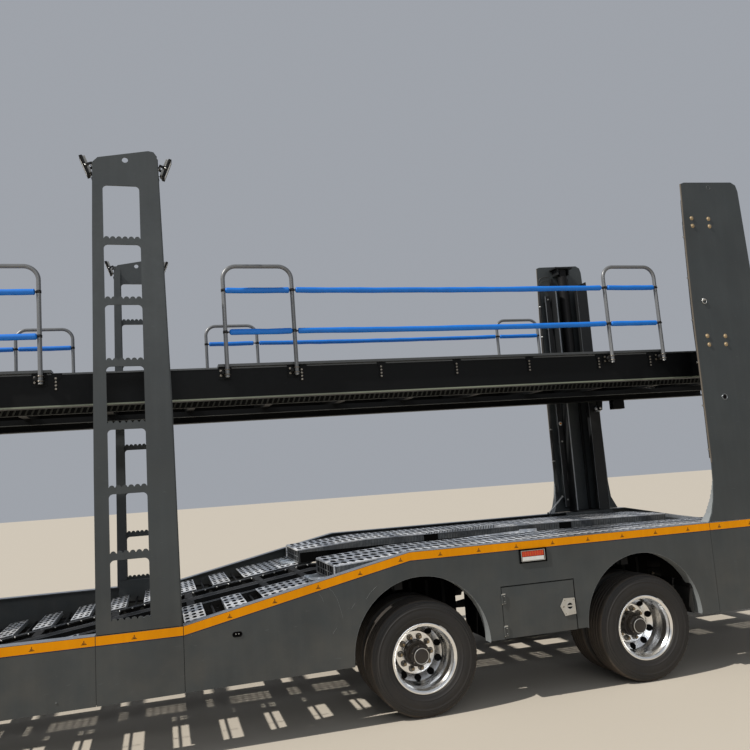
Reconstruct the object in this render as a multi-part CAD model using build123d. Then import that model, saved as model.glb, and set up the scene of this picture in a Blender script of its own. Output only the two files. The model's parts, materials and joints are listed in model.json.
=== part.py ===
from build123d import *
import math
import os

# Two-deck car transporter semi-trailer, parked on its legs without a tractor.
# Frame: +X forward, +Y the vehicle's left, +Z up, millimetres, floor at z = 0.
# Stations along the length are called s: 0 at the first axle, growing towards the rear.

# ---------------------------------------------------------------- driving sizes
S_FRONT = -9400.0            # front face of the gooseneck
S_REAR = 4350.0              # rear face of the stowed ramps
XC = (S_FRONT + S_REAR) / 2  # x = XC - s puts the origin at mid length
W2 = 1275.0                  # half width over the side skirts
SKIN = 8.0                   # skirt plate
AXLES = (0.0, 1765.0)        # stations of the two axles
AXLE_Z = 392.5
TYRE_R = AXLE_Z              # the tyre just meets the floor
RIM_R = 222.0
Y_OUT, Y_IN = 1134.0, 866.0  # centre planes of the outer and inner tyre
Y_DISC = 1000.0              # face where the two wheel discs meet
ARCH_R, ARCH_Z, ARCH_S = 495.0, 455.0, -12.0

# side skirt: top edge and bottom edge, (s, z)
Z_LOW, Z_HIGH = 802.0, 1120.0
KINK1, KINK2 = -1602.0, -75.0
TAIL_S = 4150.0
SEAMS = (-2127.0, -1604.0, 2405.0)

# decks
LOW_Z = 550.0                # running surface of the low deck
RAMP_A, RAMP_B = (-3230.0, 550.0), (-520.0, 938.0)   # start and end of the rising part
RAIL_REAR = 938.0            # top of the frame over the axles
BOX_Z = 1062.0               # raised wheel tracks over the axles
Y_TRACK = (410.0, 1150.0)

# upper deck, modelled level and then set at its travelling slope about the hinge
HINGE_S, HINGE_Z = -6300.0, 2326.0
DECK_SLOPE = 0.6
DB_Z0, DB_H = 2212.0, 228.0  # beam bottom and height
DB_Y = (905.0, 985.0)        # beam inner flange edge and outer face
DECK_S = (-6220.0, 4330.0)
HOOP_Y = 1040.0
HOOP_R = 15.0

# lift columns and their cylinders
COL_S = 2500.0
COL_IN = 1085.0
CYL_S, CYL_Y = 2800.0, 1170.0

# loading ramps: ladders that lie in drawers under the rear tracks
RAMP_S = (2520.0, 4350.0)
RAMP_Z = (702.0, 752.0)
RAMP_Y = (470.0, 1070.0)     # outer faces of the two ramp rails


def X(s):
    return XC - s


def track_z(s):
    if s <= RAMP_A[0]:
        return LOW_Z
    if s >= RAMP_B[0]:
        return RAMP_B[1]
    return RAMP_A[1] + (s - RAMP_A[0]) * (RAMP_B[1] - RAMP_A[1]) / (RAMP_B[0] - RAMP_A[0])


def poly(pts):
    return Polygon(*[(X(s), z) for s, z in pts], align=None)


def ext(sk, y0, y1):
    y0, y1 = min(y0, y1), max(y0, y1)
    pl = Plane(origin=(0, y0, 0), x_dir=(1, 0, 0), z_dir=(0, -1, 0))
    return extrude(pl * sk, amount=y1 - y0, dir=(0, 1, 0))


def bx(s0, s1, y0, y1, z0, z1):
    return Pos(X((s0 + s1) / 2), (y0 + y1) / 2, (z0 + z1) / 2) * Box(abs(s1 - s0), abs(y1 - y0), abs(z1 - z0))


def cy(s, z, r, y0, y1):
    return Pos(X(s), (y0 + y1) / 2, z) * Rot(90, 0, 0) * Cylinder(r, abs(y1 - y0))


def cz(s, y, r, z0, z1):
    return Pos(X(s), y, (z0 + z1) / 2) * Cylinder(r, abs(z1 - z0))


def cx(s0, s1, y, z, r):
    return Pos(X((s0 + s1) / 2), y, z) * Rot(0, 90, 0) * Cylinder(r, abs(s1 - s0))


def band(pts, t):
    "strip of height t under a polyline of (s, z)"
    return poly(list(pts) + [(s, z - t) for s, z in reversed(pts)])


def fuse(items):
    out = items[0]
    for i in items[1:]:
        out = out + i
    return out


NODES = {}


def put(name, *shapes):
    NODES.setdefault(name, []).extend(shapes)


# ---------------------------------------------------------------- side skirts
def skirt_top(s):
    if s <= -6150:
        return 1400.0
    if s <= -5350:
        return 1400.0 + (s + 6150) * (Z_LOW - 1400.0) / 800.0
    if s <= KINK1:
        return Z_LOW
    if s <= KINK2:
        return Z_LOW + (s - KINK1) * (Z_HIGH - Z_LOW) / (KINK2 - KINK1)
    if s <= 3300:
        return Z_HIGH
    return Z_HIGH - (s - 3300) * 170.0 / 850.0


TOP_KNOTS = (-6150, -5350, KINK1, KINK2, 3300)
# panel: (first station, last station, [bottom edge points from rear to front])
PANELS = [
    (S_FRONT + 50, -6160.0, [(-6160.0, 1170.0), (S_FRONT + 50, 1170.0)]),
    (-6157.0, SEAMS[0] - 1.5, [(SEAMS[0] - 1.5, 390.0), (-5800.0, 362.0), (-6157.0, 900.0)]),
    (SEAMS[0] + 1.5, SEAMS[1] - 1.5, [(SEAMS[1] - 1.5, 397.0), (SEAMS[0] + 1.5, 390.0)]),
    (SEAMS[1] + 1.5, SEAMS[2] - 1.5, [(SEAMS[2] - 1.5, 439.0), (2252.0, 439.0), (1268.0, 462.0), (502.0, 456.0), (-508.0, 410.0), (SEAMS[1] + 1.5, 397.0)]),
    (SEAMS[2] + 1.5, TAIL_S, [(TAIL_S, 560.0), (3300.0, 437.0), (SEAMS[2] + 1.5, 438.0)]),
]
DOOR = (592.0, 1168.0, 456.0, 813.0)  # toolbox door opening in the skirt

for side, sy in (("left", 1), ("right", -1)):
    for i, (s0, s1, bottom) in enumerate(PANELS):
        tops = [(s0, skirt_top(s0))] + [(k, skirt_top(k)) for k in TOP_KNOTS if s0 < k < s1] + [(s1, skirt_top(s1))]
        face = poly(tops + bottom)
        rims = []
        if i == 3:
            for a in AXLES:
                c = Pos(X(a + ARCH_S), ARCH_Z)
                face -= c * Circle(ARCH_R)
                face -= Pos(X(a + ARCH_S), ARCH_Z - 200) * Rectangle(2 * ARCH_R, 400)
                ring = (c * Circle(ARCH_R + 8) - c * Circle(ARCH_R)) - Pos(X(a + ARCH_S), ARCH_Z - 250) * Rectangle(3 * ARCH_R, 510)
                rims.append(ext(ring, sy * (W2 - SKIN - 90), sy * (W2 - SKIN)))
            face -= Pos(X(-1270), 712) * SlotOverall(56, 26)
            face -= poly([(DOOR[0] - 5, DOOR[2] - 60), (DOOR[1] + 5, DOOR[2] - 60), (DOOR[1] + 5, DOOR[3] + 5), (DOOR[0] - 5, DOOR[3] + 5)])
        skin = ext(face, sy * (W2 - SKIN), sy * W2)
        lip = ext(band(tops, 8), sy * (W2 - 92), sy * (W2 - SKIN))
        put("side_skirts_" + side, fuse([skin, lip] + rims))

# ---------------------------------------------------------------- frame
# rail: (node, top line, bottom line), webs at |y| 395..405 with flanges towards the middle
RAILS = [
    ("neck", [(S_FRONT + 45.5, 1335), (-6150, 1335), (-5352, 545)], [(-5352, 395), (-5800, 395), (-6350, 1182), (S_FRONT + 45.5, 1182)]),
    ("low", [(-5350, 545), (RAMP_A[0], 545), (-522, 931)], [(-522, 690), (-3300, 395), (-5350, 395)]),
    ("rear", [(-520, 931), (4100, 931)], [(4100, 690), (-520, 690)]),
]
for name, top, bottom in RAILS:
    for sy in (1, -1):
        web = poly(top + bottom)
        if name == "low":
            for k in range(34):
                s = -5250 + k * 140
                web -= Pos(X(s), track_z(s) - 45) * Circle(16)
        parts = [ext(web, sy * 395, sy * 405)]
        parts.append(ext(band(top, 12), sy * 345, sy * 395))
        low = list(reversed(bottom))
        parts.append(ext(poly(low + [(s, z + 12) for s, z in reversed(low)]), sy * 345, sy * 395))
        put("main_rails", fuse(parts))

spine_top = [(-5340, 543), (RAMP_A[0], 543), (-522, 929), (4090, 929)]
put("main_rails", ext(poly(spine_top + [(4090, 760), (-522, 760), (-3300, 400), (-5340, 400)]), -75, 75))

# cross members: (station, underside below the track surface); four pieces each, between spine, rails and skirts
CROSS = [-4940, -4370, -3800, -3230, -2660, -2090, -1520, -950, -640, -120, 340, 800, 1260, 1720, 2180, 2640, 3100, 3560]
for s in CROSS:
    z1 = track_z(s) - (0.5 if s < RAMP_A[0] else 5.0 if s < -600 else 8.0)
    z0 = z1 - (80 if s > -600 else 100)
    y_end = 1086 if 2450 < s < 3200 else 1108
    for sy in (1, -1):
        put("cross_members", bx(s - 30, s + 30, sy * 76, sy * 344.5, z0, z1))
        put("cross_members", bx(s - 30, s + 30, sy * 405.5, sy * y_end, z0, z1))
# outer beams behind the skirts
for sy in (1, -1):
    put("cross_members", bx(-5700, -1650, sy * 1108.5, sy * 1240, 400, 521.5))
    put("cross_members", bx(-380, 2380, sy * 1108.5, sy * 1240, 968, 1040))
    put("cross_members", bx(2390, 4095, sy * 1108.5, sy * 1240, 700, 760))
# rear beam: lower and upper bars with posts between, leaving a mouth for each ramp
put("tail_beam", bx(4102, 4200, -1262, 1262, 540, RAMP_Z[0] - 6), bx(4102, 4200, -1262, 1262, RAMP_Z[1] + 6, 900))
for y0, y1 in ((-1262, -RAMP_Y[1] - 6), (-RAMP_Y[0] + 6, RAMP_Y[0] - 6), (RAMP_Y[1] + 6, 1262)):
    put("tail_beam", bx(4102, 4200, y0, y1, RAMP_Z[0] - 5.5, RAMP_Z[1] + 5.5))

# gooseneck: coupler plate, cross beams and top sheet
put("gooseneck_plates", bx(S_FRONT + 60, -7400, -620, 620, 1168, 1180))
put("gooseneck_plates", bx(S_FRONT, S_FRONT + 45, -1262, 1262, 1170, 1392))
for s in (-9000, -8600, -8000, -7300, -6700, -6300):
    for sy in (1, -1):
        put("cross_members", bx(s - 40, s + 40, sy * 405.5, sy * 1260, 1200, 1320))
    put("cross_members", bx(s - 40, s + 40, -344.5, 344.5, 1200, 1320))
for sy in (1, -1):
    put("cross_members", bx(-6085, -6005, sy * 405.5, sy * 1262, 1100, 1180))
put("gooseneck_plates", bx(S_FRONT + 46, -6200, -1180, 1180, 1335.5, 1343))
KP_S = -8400.0
kp = cz(KP_S, 0, 62, 1148, 1168) + cz(KP_S, 0, 36, 1121, 1148) + cz(KP_S, 0, 25.4, 1091, 1121) + cz(KP_S, 0, 35.7, 1077, 1091)
put("kingpin", kp)

# landing legs: outer box, inner leg, foot, cross shaft
for sy in (1, -1):
    put("landing_legs", fuse([bx(-6110, -5980, sy * 1000, sy * 1130, 420, 1099.5), bx(-6095, -5995, sy * 1015, sy * 1115, 60, 420),
                              bx(-6170, -5920, sy * 950, sy * 1180, 0, 22), bx(-6075, -6015, sy * 1035, sy * 1095, 22, 60)]))
put("landing_legs", cy(-6045, 640, 18, -999.5, 999.5))

# ---------------------------------------------------------------- lower deck
PITCH, PLANK = 285.0, 145.0
ang = math.degrees(math.atan2(RAMP_B[1] - RAMP_A[1], RAMP_B[0] - RAMP_A[0]))
for k in range(14):
    s = -1520.0 + PITCH * (1 - k)
    a = ang if s > RAMP_A[0] + 60 else 0.0
    for sy in (1, -1):
        plank = Box(PLANK, Y_TRACK[1] - Y_TRACK[0], 5)
        plank = plank + Pos(-PLANK / 2 + 2.5, 0, -15) * Box(5, Y_TRACK[1] - Y_TRACK[0], 30) + Pos(PLANK / 2 - 2.5, 0, -15) * Box(5, Y_TRACK[1] - Y_TRACK[0], 30)
        z = track_z(s) + (2 if a == 0 else 4)
        put("lower_deck_tracks", Pos(X(s), sy * (Y_TRACK[0] + Y_TRACK[1]) / 2, z) * Rot(0, a, 0) * plank)
for sy in (1, -1):
    put("lower_deck_tracks", ext(band([(-1045, track_z(-1045) + 7), (-566, track_z(-566) + 7)], 6), sy * Y_TRACK[0], sy * Y_TRACK[1]))
# raised tracks: closed front end, top and two sides
BOX_TOP = [(-560, BOX_Z - 7), (60, BOX_Z + 37), (2200, BOX_Z + 34), (3250, BOX_Z + 18)]   # s, z of the top surface
for sy in (1, -1):
    outer = ext(poly(BOX_TOP + [(3250, 942), (-560, 942)]), sy * 410, sy * 1075)
    inner = ext(poly([(max(s, -554) if s < 3000 else 3251, z - 6) for s, z in BOX_TOP] + [(3251, 941), (-554, 941)]), sy * 416, sy * 1069)
    put("raised_tracks", outer - inner)
    put("raised_tracks", ext(band([(3254, BOX_Z + 16), (4195, 915)], 12), sy * 410, sy * 1150))

# ---------------------------------------------------------------- ladder columns
LC_TOP = 3951.0
for sy in (1, -1):
    outline = poly([(-2123, 806), (-2119, 1806), (-2103, 3349), (-2095, 3855), (-2060, 3891), (-1735, 3951), (-1700, 3945), (-1678, 3915), (-1660, 3183), (-1634, 2200), (-1615, 806)])
    for k in range(7):
        zb, zt = 878 + 408.7 * k, 1245 + 408.7 * k
        win = Pos(X(-1916), (zb + zt) / 2) * RectangleRounded(234, zt - zb, 28)
        win = win + Pos(X(-1916), zb + 20) * Rectangle(234, 40)
        # grip bumps along the rung
        win -= [Pos(X(-1916 + 39 * (n - 2.5)), zb - 3) * Circle(17) for n in range(6)]
        outline -= win
    outline -= Pos(X(-1886), 3880) * Circle(20)
    col = [ext(outline, sy * (W2 - 12), sy * W2)]
    # folded front and rear edges, and the inner plate of the rear box
    col.append(ext(poly([(-2123, 806), (-2095, 3855), (-2085, 3855), (-2113, 806)]), sy * 1185, sy * (W2 - 12)))
    col.append(ext(poly([(-1619, 806), (-1638, 2200), (-1684, 3900), (-1672, 3900), (-1626, 2200), (-1607, 806)]), sy * 1185, sy * (W2 - 12)))
    col.append(ext(poly([(-2113, 806), (-2085, 3855), (-2037, 3855), (-2037, 806)]), sy * 1185, sy * 1195))
    put("ladder_columns", fuse(col))
    put("ladder_columns", bx(-2110, -1630, sy * 1165, sy * 1182.5, 534, 860))

# ---------------------------------------------------------------- lift columns, rear pair and front pair
# outer plate outline from the front edge: (offset u, z)
def lift_column(s_of, sy, name, foot_z):
    def q(pts):
        return poly([(s_of(u), z) for u, z in pts])

    plate = q([(-92, 1123), (-55, 1190), (-25, 1300), (-6, 1440), (0, 1580), (0, 2700), (12, 3320), (35, 3905), (70, 3918), (545, 3940), (590, 3915), (606, 3860), (618, 3515), (640, 2900), (660, 2200), (672, 1420), (690, 1250), (760, 1123)])
    plate -= Pos(X(s_of(311)), 3883) * Circle(16)
    plate -= Pos(X(s_of(205)), 2104) * Circle(16)
    body = [ext(plate, sy * (W2 - 12), sy * W2)]
    # lip along the front flare, then the front web, the rear web and the two guide strips beside the slot
    body.append(ext(q([(-88, 1126), (-51, 1192), (-22, 1301), (-9, 1405), (0, 1405), (-13, 1301), (-42, 1192), (-79, 1126)]), sy * (W2 - 92), sy * (W2 - 6)))
    body.append(ext(q([(150, 1123), (150, 3640), (162, 3640), (162, 1123)]), sy * (COL_IN + 12), sy * (W2 - 6)))
    body.append(ext(q([(535, 1123), (535, 3700), (547, 3700), (547, 1123)]), sy * COL_IN, sy * (W2 - 6)))
    body.append(ext(q([(420, 1123), (420, 3640), (547, 3640), (547, 1123)]), sy * COL_IN, sy * (COL_IN + 12)))
    body.append(ext(q([(420, 1123), (420, 3640), (432, 3640), (432, 1123)]), sy * (COL_IN + 12), sy * (COL_IN + 62)))
    # hanger for the lift cylinder: a top plate on two ribs
    body.append(ext(q([(190, 3870), (190, 3888), (410, 3888), (410, 3870)]), sy * 1120, sy * (W2 - 6)))
    for u in (226, 362):
        body.append(ext(q([(u, 3800), (u, 3874), (u + 12, 3874), (u + 12, 3800)]), sy * 1130, sy * (W2 - 6)))
    # floor of the column
    body.append(ext(q([(150, 1123), (547, 1123), (547, 1135), (150, 1135)]), sy * (COL_IN + 12), sy * (W2 - 6)))
    put(name, fuse(body))


for sy in (1, -1):
    lift_column(lambda u: COL_S + u, sy, "rear_lift_columns", 0)
    put("rear_lift_columns", ext(poly([(COL_S + 12, 765), (COL_S + 12, 1122.5), (COL_S + 570, 1122.5), (COL_S + 706, 945), (COL_S + 720, 765)]), sy * 1090, sy * 1108))
    # front pair: mirrored, standing on the neck
    put("front_columns", fuse([
        ext(poly([(-6830, 1402), (-6800, 3700), (-6740, 3760), (-6300, 3760), (-6240, 3700), (-6200, 1402)]), sy * (W2 - 12), sy * W2),
        ext(poly([(-6830, 1402), (-6800, 3700), (-6790, 3700), (-6820, 1402)]), sy * 1095, sy * (W2 - 12)),
        ext(poly([(-6200, 1402), (-6240, 3700), (-6250, 3700), (-6210, 1402)]), sy * 1095, sy * (W2 - 12)),
        ext(poly([(-6800, 2700), (-6800, 3700), (-6790, 3740), (-6260, 3740), (-6250, 3700), (-6230, 2700)]), sy * 1095, sy * 1107),
        ext(poly([(-6820, 1402), (-6210, 1402), (-6210, 1414), (-6820, 1414)]), sy * 1095, sy * (W2 - 12)),
    ]))

# ---------------------------------------------------------------- lift cylinders (fixed barrel, sliding rod)
BAR_Z0, BAR_Z1 = 2560.0, 3780.0
L_PIN = CYL_S - HINGE_S
DECK_RAD = math.radians(DECK_SLOPE)
# pin height in the level deck, and where the deck's slope carries it
PIN_LOCAL_Z = 2326.0
PIN_X = X(HINGE_S) - (L_PIN * math.cos(DECK_RAD) - 0.0) + (PIN_LOCAL_Z - HINGE_Z) * math.sin(DECK_RAD)
PIN_Z = HINGE_Z + L_PIN * math.sin(DECK_RAD) + (PIN_LOCAL_Z - HINGE_Z) * math.cos(DECK_RAD)
PIN_S = XC - PIN_X
for sy in (1, -1):
    barrel = cz(PIN_S, sy * CYL_Y, 52, BAR_Z0, BAR_Z1) - cz(PIN_S, sy * CYL_Y, 40, BAR_Z0 + 30, BAR_Z1 - 10) - cz(PIN_S, sy * CYL_Y, 30.06, BAR_Z0 - 1, BAR_Z0 + 31)
    lug = bx(PIN_S - 40, PIN_S + 40, sy * (CYL_Y - 20), sy * (CYL_Y + 20), BAR_Z1, BAR_Z1 + 89)
    put("lift_cylinder_barrels", barrel + lug)
    rod = cz(PIN_S, sy * CYL_Y, 30, PIN_Z + 30, BAR_Z1 - 110)
    eye = cy(PIN_S, PIN_Z, 42, sy * CYL_Y - 20, sy * CYL_Y + 20)
    pin = cy(PIN_S, PIN_Z, 20, sy * CYL_Y - 62, sy * CYL_Y + 62)
    put("lift_rod_" + ("left" if sy > 0 else "right"), fuse([rod, eye, pin]))

# ---------------------------------------------------------------- upper deck (moving section)
deck_place = Pos(X(HINGE_S), 0, HINGE_Z) * Rot(0, DECK_SLOPE, 0) * Pos(-X(HINGE_S), 0, -HINGE_Z)


def beam(s0, s1, sy):
    z0, z1 = DB_Z0, DB_Z0 + DB_H
    return fuse([bx(s0, s1, sy * 975, sy * 985, z0, z1), bx(s0, s1, sy * 905, sy * 975, z0, z0 + 12), bx(s0, s1, sy * 905, sy * 975, z1 - 12, z1)])


def rounded_lug(s_far, s_c, z_c, r, y0, y1, hole):
    sk = Pos(X(s_c), z_c) * Circle(r) + poly([(s_c, z_c - r), (s_c, z_c + r), (s_far, z_c + r), (s_far, z_c - r)])
    if hole:
        sk -= Pos(X(s_c), z_c) * Circle(hole)
    return ext(sk, y0, y1)


deck = []
for sy in (1, -1):
    b = beam(DECK_S[0], DECK_S[1], sy)
    tongue = rounded_lug(DECK_S[0] + 150, HINGE_S, HINGE_Z, 60, sy * 945, sy * 975, 25.06)
    # lug for the lift rod: arm, floor and two cheeks with level slots
    z = PIN_LOCAL_Z
    arm = bx(CYL_S - 60, CYL_S + 105, sy * 985, sy * 1108, z - 70, z + 50)
    floor = bx(CYL_S - 60, CYL_S + 105, sy * 1108, sy * 1228, z - 70, z - 56)
    cheeks = bx(CYL_S - 60, CYL_S + 105, sy * 1108, sy * 1128, z - 56, z + 50) + bx(CYL_S - 60, CYL_S + 105, sy * 1212, sy * 1228, z - 56, z + 50)
    slot = bx(CYL_S - 40, CYL_S + 85, sy * 1104, sy * 1240, z - 26, z + 26)
    put("upper_deck_frame", deck_place * ((b + tongue + arm + floor + cheeks) - slot))
for s in [-6000 + k * 650 for k in range(16)] + [DECK_S[1] - 40]:
    put("upper_deck_frame", deck_place * bx(s - 30, s + 30, -974, 974, DB_Z0 + 60, DB_Z0 + 140))
for sy in (1, -1):
    t = fuse([bx(DECK_S[0] + 20, DECK_S[1] - 10, sy * 380, sy * 895, DB_Z0 + 206, DB_Z0 + 212), bx(DECK_S[0] + 20, DECK_S[1] - 10, sy * 380, sy * 386, DB_Z0 + 142, DB_Z0 + 206), bx(DECK_S[0] + 20, DECK_S[1] - 10, sy * 889, sy * 895, DB_Z0 + 142, DB_Z0 + 206)])
    put("upper_deck_tracks", deck_place * t)
# cap plates between each pair of hoops
CAPS = [(-6075, -2392), (-1300, 2382)]
for s0, s1 in CAPS:
    for sy in (1, -1):
        put("deck_edge_caps", deck_place * bx(s0, s1, sy * 900, sy * 1012, DB_Z0 + DB_H + 1, DB_Z0 + DB_H + 19))


# guard hoops: (front leg, rear leg)
def hoop(s0, s1, sy, base, top):
    y = sy * HOOP_Y
    path = FilletPolyline((X(s0), y, base), (X(s0), y, top), (X(s1), y, top), (X(s1), y, base), radius=95)
    tube = sweep(Plane(origin=(X(s0), y, base), z_dir=(0, 0, 1)) * Circle(HOOP_R), path=path)
    out = [tube]
    for s in (s0, s1):
        out.append(bx(s - 10, s + 10, sy * 986, sy * (HOOP_Y - 6), base + 14, base + 56))
    return fuse(out)


HOOPS = [(-6030, -5542), (-2942, -2455), (-1241, -747), (1862, 2352)]
HB, HT = DB_Z0 + DB_H - 78, DB_Z0 + DB_H + 722
for s0, s1 in HOOPS:
    for sy in (1, -1):
        put("guard_hoops", deck_place * hoop(s0, s1, sy, HB, HT))
ROPE_Z = (DB_Z0 + DB_H + 235, DB_Z0 + DB_H + 528)
for run in (HOOPS[0] + HOOPS[1], HOOPS[2] + HOOPS[3]):
    for a, b in zip(run, run[1:]):
        for z in ROPE_Z:
            for sy in (1, -1):
                put("guard_ropes", deck_place * cx(a + 17, b - 17, sy * HOOP_Y, z, 15.5))

# ---------------------------------------------------------------- front deck (fixed)
FD = (-9350.0, -6440.0)
for sy in (1, -1):
    b = beam(FD[0], FD[1], sy)
    cheek = rounded_lug(FD[1] - 60, HINGE_S, HINGE_Z, 58, sy * 980.5, sy * 995, 0)
    cheek2 = rounded_lug(FD[1] - 60, HINGE_S, HINGE_Z, 58, sy * 925, sy * 939.5, 0)
    spacer = bx(FD[1] - 100, FD[1], sy * 925, sy * 995, HINGE_Z - 58, HINGE_Z + 58)
    put("front_deck_frame", fuse([b, cheek, cheek2, spacer]) + cy(HINGE_S, HINGE_Z, 25, sy * 920, sy * 1000))
    put("front_deck_tracks", fuse([bx(FD[0] + 20, FD[1] - 120, sy * 380, sy * 895, DB_Z0 + 206, DB_Z0 + 212), bx(FD[0] + 20, FD[1] - 120, sy * 380, sy * 386, DB_Z0 + 142, DB_Z0 + 206), bx(FD[0] + 20, FD[1] - 120, sy * 889, sy * 895, DB_Z0 + 142, DB_Z0 + 206)]))
    put("front_deck_frame", bx(-9300, -9180, sy * 890, sy * 985, 1345, DB_Z0 - 0.5))
    put("front_columns", bx(-6760, -6545, sy * 985.5, sy * 1262.5, DB_Z0 + 20, DB_Z0 + 180))
for s in (-9300, -8700, -8100, -7500, -6900):
    put("front_deck_frame", bx(s - 30, s + 30, -974, 974, DB_Z0 + 60, DB_Z0 + 140))
for s0, s1 in ((-9250, -8770), (-7450, -6970)):
    for sy in (1, -1):
        put("front_guard_rail", hoop(s0, s1, sy, HB, HT))
for a, b in ((-9250, -8770), (-8770, -7450), (-7450, -6970)):
    for z in ROPE_Z:
        for sy in (1, -1):
            put("front_guard_rail", cx(a + 17, b - 17, sy * HOOP_Y, z, 15.5))

# ---------------------------------------------------------------- axles, springs, wheels
for i, a in enumerate(AXLES):
    ax = bx(a - 65, a + 65, -690, 690, AXLE_Z - 65, AXLE_Z + 65)
    for sy in (1, -1):
        ax = ax + cy(a, AXLE_Z, 45, sy * 690, sy * 1085)
    put("axle_beams", ax)
    for sy in (1, -1):
        # spring pack: shallow arc, main leaf eye to eye
        z = AXLE_Z + 66
        pack = poly([(a - 545, z + 95), (a - 300, z + 40), (a - 120, z), (a + 120, z), (a + 300, z + 40), (a + 545, z + 95), (a + 545, z + 125), (a + 300, z + 80), (a + 120, z + 60), (a - 120, z + 60), (a - 300, z + 80), (a - 545, z + 125)])
        put("leaf_springs", ext(pack, sy * 350, sy * 430))
MID = (AXLES[0] + AXLES[1]) / 2
for a in (AXLES[0] - 605, MID, AXLES[1] + 605):
    for sy in (1, -1):
        top = [(a - 90, 670), (-526, 688), (a + 90, 689.5)] if a < 0 else [(a - 90, 689.5), (a + 90, 689.5)]
        hanger = ext(poly(top + [(a + 38, 520), (a - 38, 520)]), sy * 345, sy * 435)
        if a == MID:
            # rocker between the two springs
            hanger = hanger + ext(poly([(a - 330, 556), (a, 545), (a + 330, 556), (a + 330, 586), (a, 640), (a - 330, 586)]), sy * 350, sy * 430)
        put("leaf_springs", hanger)


def revolve_y(pts, s, z, y, sy):
    "closed (radius, offset) profile revolved about the wheel axis at |y|"
    sk = Polygon(*[(r, o) for r, o in pts], align=None)
    face = Plane(origin=(0, 0, 0), x_dir=(1, 0, 0), z_dir=(0, 0, 1)) * sk
    solid = revolve(face, Axis.Y, 360)
    if sy < 0:
        solid = Rot(0, 0, 180) * solid
    return Pos(X(s), sy * y, z) * solid


R0 = TYRE_R
TYRE = [(223, -83), (239.5, -83.5), (240, -99), (262, -109), (300, -116), (330, -113), (362, -103), (380, -92), (R0 - 1, -70), (R0, 0), (R0 - 1, 70), (380, 92), (362, 103), (330, 113), (300, 116), (262, 109), (240, 99), (239.5, 83.5), (223, 83), (223, 66), (240, 78), (264, 90), (300, 98), (330, 96), (350, 84), (360, 60), (362, 0), (360, -60), (350, -84), (330, -96), (300, -98), (264, -90), (240, -78), (223, -66)]
# rim barrel and disc; offsets outward from the tyre's centre plane
RIM_OUT = [(235, 98), (238, 92), (236, 86), (222, 84), (222, 70), (210, 58), (206, 20), (208, -40), (221, -70), (222, -84), (236, -86), (238, -92), (235, -98), (214, -98), (210, -76), (201, -58), (198, -98), (150, -134), (88.5, -134), (88.5, -120), (146, -120), (190, -88), (197, -50), (198, 20), (204, 62), (214, 80), (214, 92), (222, 98)]
RIM_IN = [(r, -o) for r, o in RIM_OUT]
def wheel_cy(x, z, r, y0, y1):
    "cylinder along the axle, about a wheel centred on the origin"
    return Pos(x, (y0 + y1) / 2, z) * Rot(90, 0, 0) * Cylinder(r, abs(y1 - y0))


def ring_of(n, rad, turn, r, y0, y1):
    return [wheel_cy(rad * math.cos(math.radians(turn + 360 * k / n)), rad * math.sin(math.radians(turn + 360 * k / n)), r, y0, y1) for k in range(n)]


# one left-hand corner about the origin, then set at each wheel; the right-hand ones are turned round
tyre_pair = [revolve_y(TYRE, XC, 0, Y_OUT, 1), revolve_y(TYRE, XC, 0, Y_IN, 1)]
cuts = ring_of(10, 170, 18, 19.5, 920, 1080) + ring_of(10, 112.5, 0, 13, 940, 1060)
rim_pair = [revolve_y(RIM_OUT, XC, 0, Y_OUT + 0.5, 1) - cuts, revolve_y(RIM_IN, XC, 0, Y_IN - 0.5, 1) - cuts]
hub = fuse([wheel_cy(0, 0, 132, 945, 985), wheel_cy(0, 0, 86, 985, 1075), wheel_cy(0, 0, 70, 1075, 1130), wheel_cy(0, 0, 56, 1130, 1158), wheel_cy(0, 0, 164, 790, 945)])
hub = hub - wheel_cy(0, 0, 150, 780, 935) - wheel_cy(0, 0, 45.06, 780, 1090)
hub = fuse([hub] + ring_of(10, 112.5, 0, 11, 970, 1052))
for i, a in enumerate(AXLES):
    for side, sy in (("left", 1), ("right", -1)):
        base = ("front", "rear")[i] + "_" + side
        place = Pos(X(a), 0, AXLE_Z) * Rot(0, 0, 0 if sy > 0 else 180)
        put(base + "_tyres", *[place * s for s in tyre_pair])
        put(base + "_rims", *[place * s for s in rim_pair])
        put(base + "_hub", place * hub)

# ---------------------------------------------------------------- toolboxes and doors
for side, sy in (("left", 1), ("right", -1)):
    box = bx(600, 1160, sy * 860, sy * 1262, 470, 800) - bx(606, 1154, sy * 866, sy * 1263, 476, 794)
    put("toolboxes", box)
    door = ext(poly([(DOOR[0], DOOR[2]), (DOOR[1], DOOR[2]), (DOOR[1], DOOR[3]), (DOOR[0], DOOR[3])]), sy * (W2 - SKIN), sy * W2)
    knuckles = fuse([cz(DOOR[0] - 3, sy * (W2 + 6), 5, z0, z0 + 60) + bx(DOOR[0] - 3, DOOR[0] + 30, sy * W2, sy * (W2 + 6), z0, z0 + 60) for z0 in (480.0, 700.0)])
    lock = ext(poly([(1040, 633), (1072, 687), (1160, 684), (1164, 570), (1074, 562)]), sy * W2, sy * (W2 + 6))
    put("toolbox_door_" + side, fuse([door, knuckles, lock]))

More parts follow.
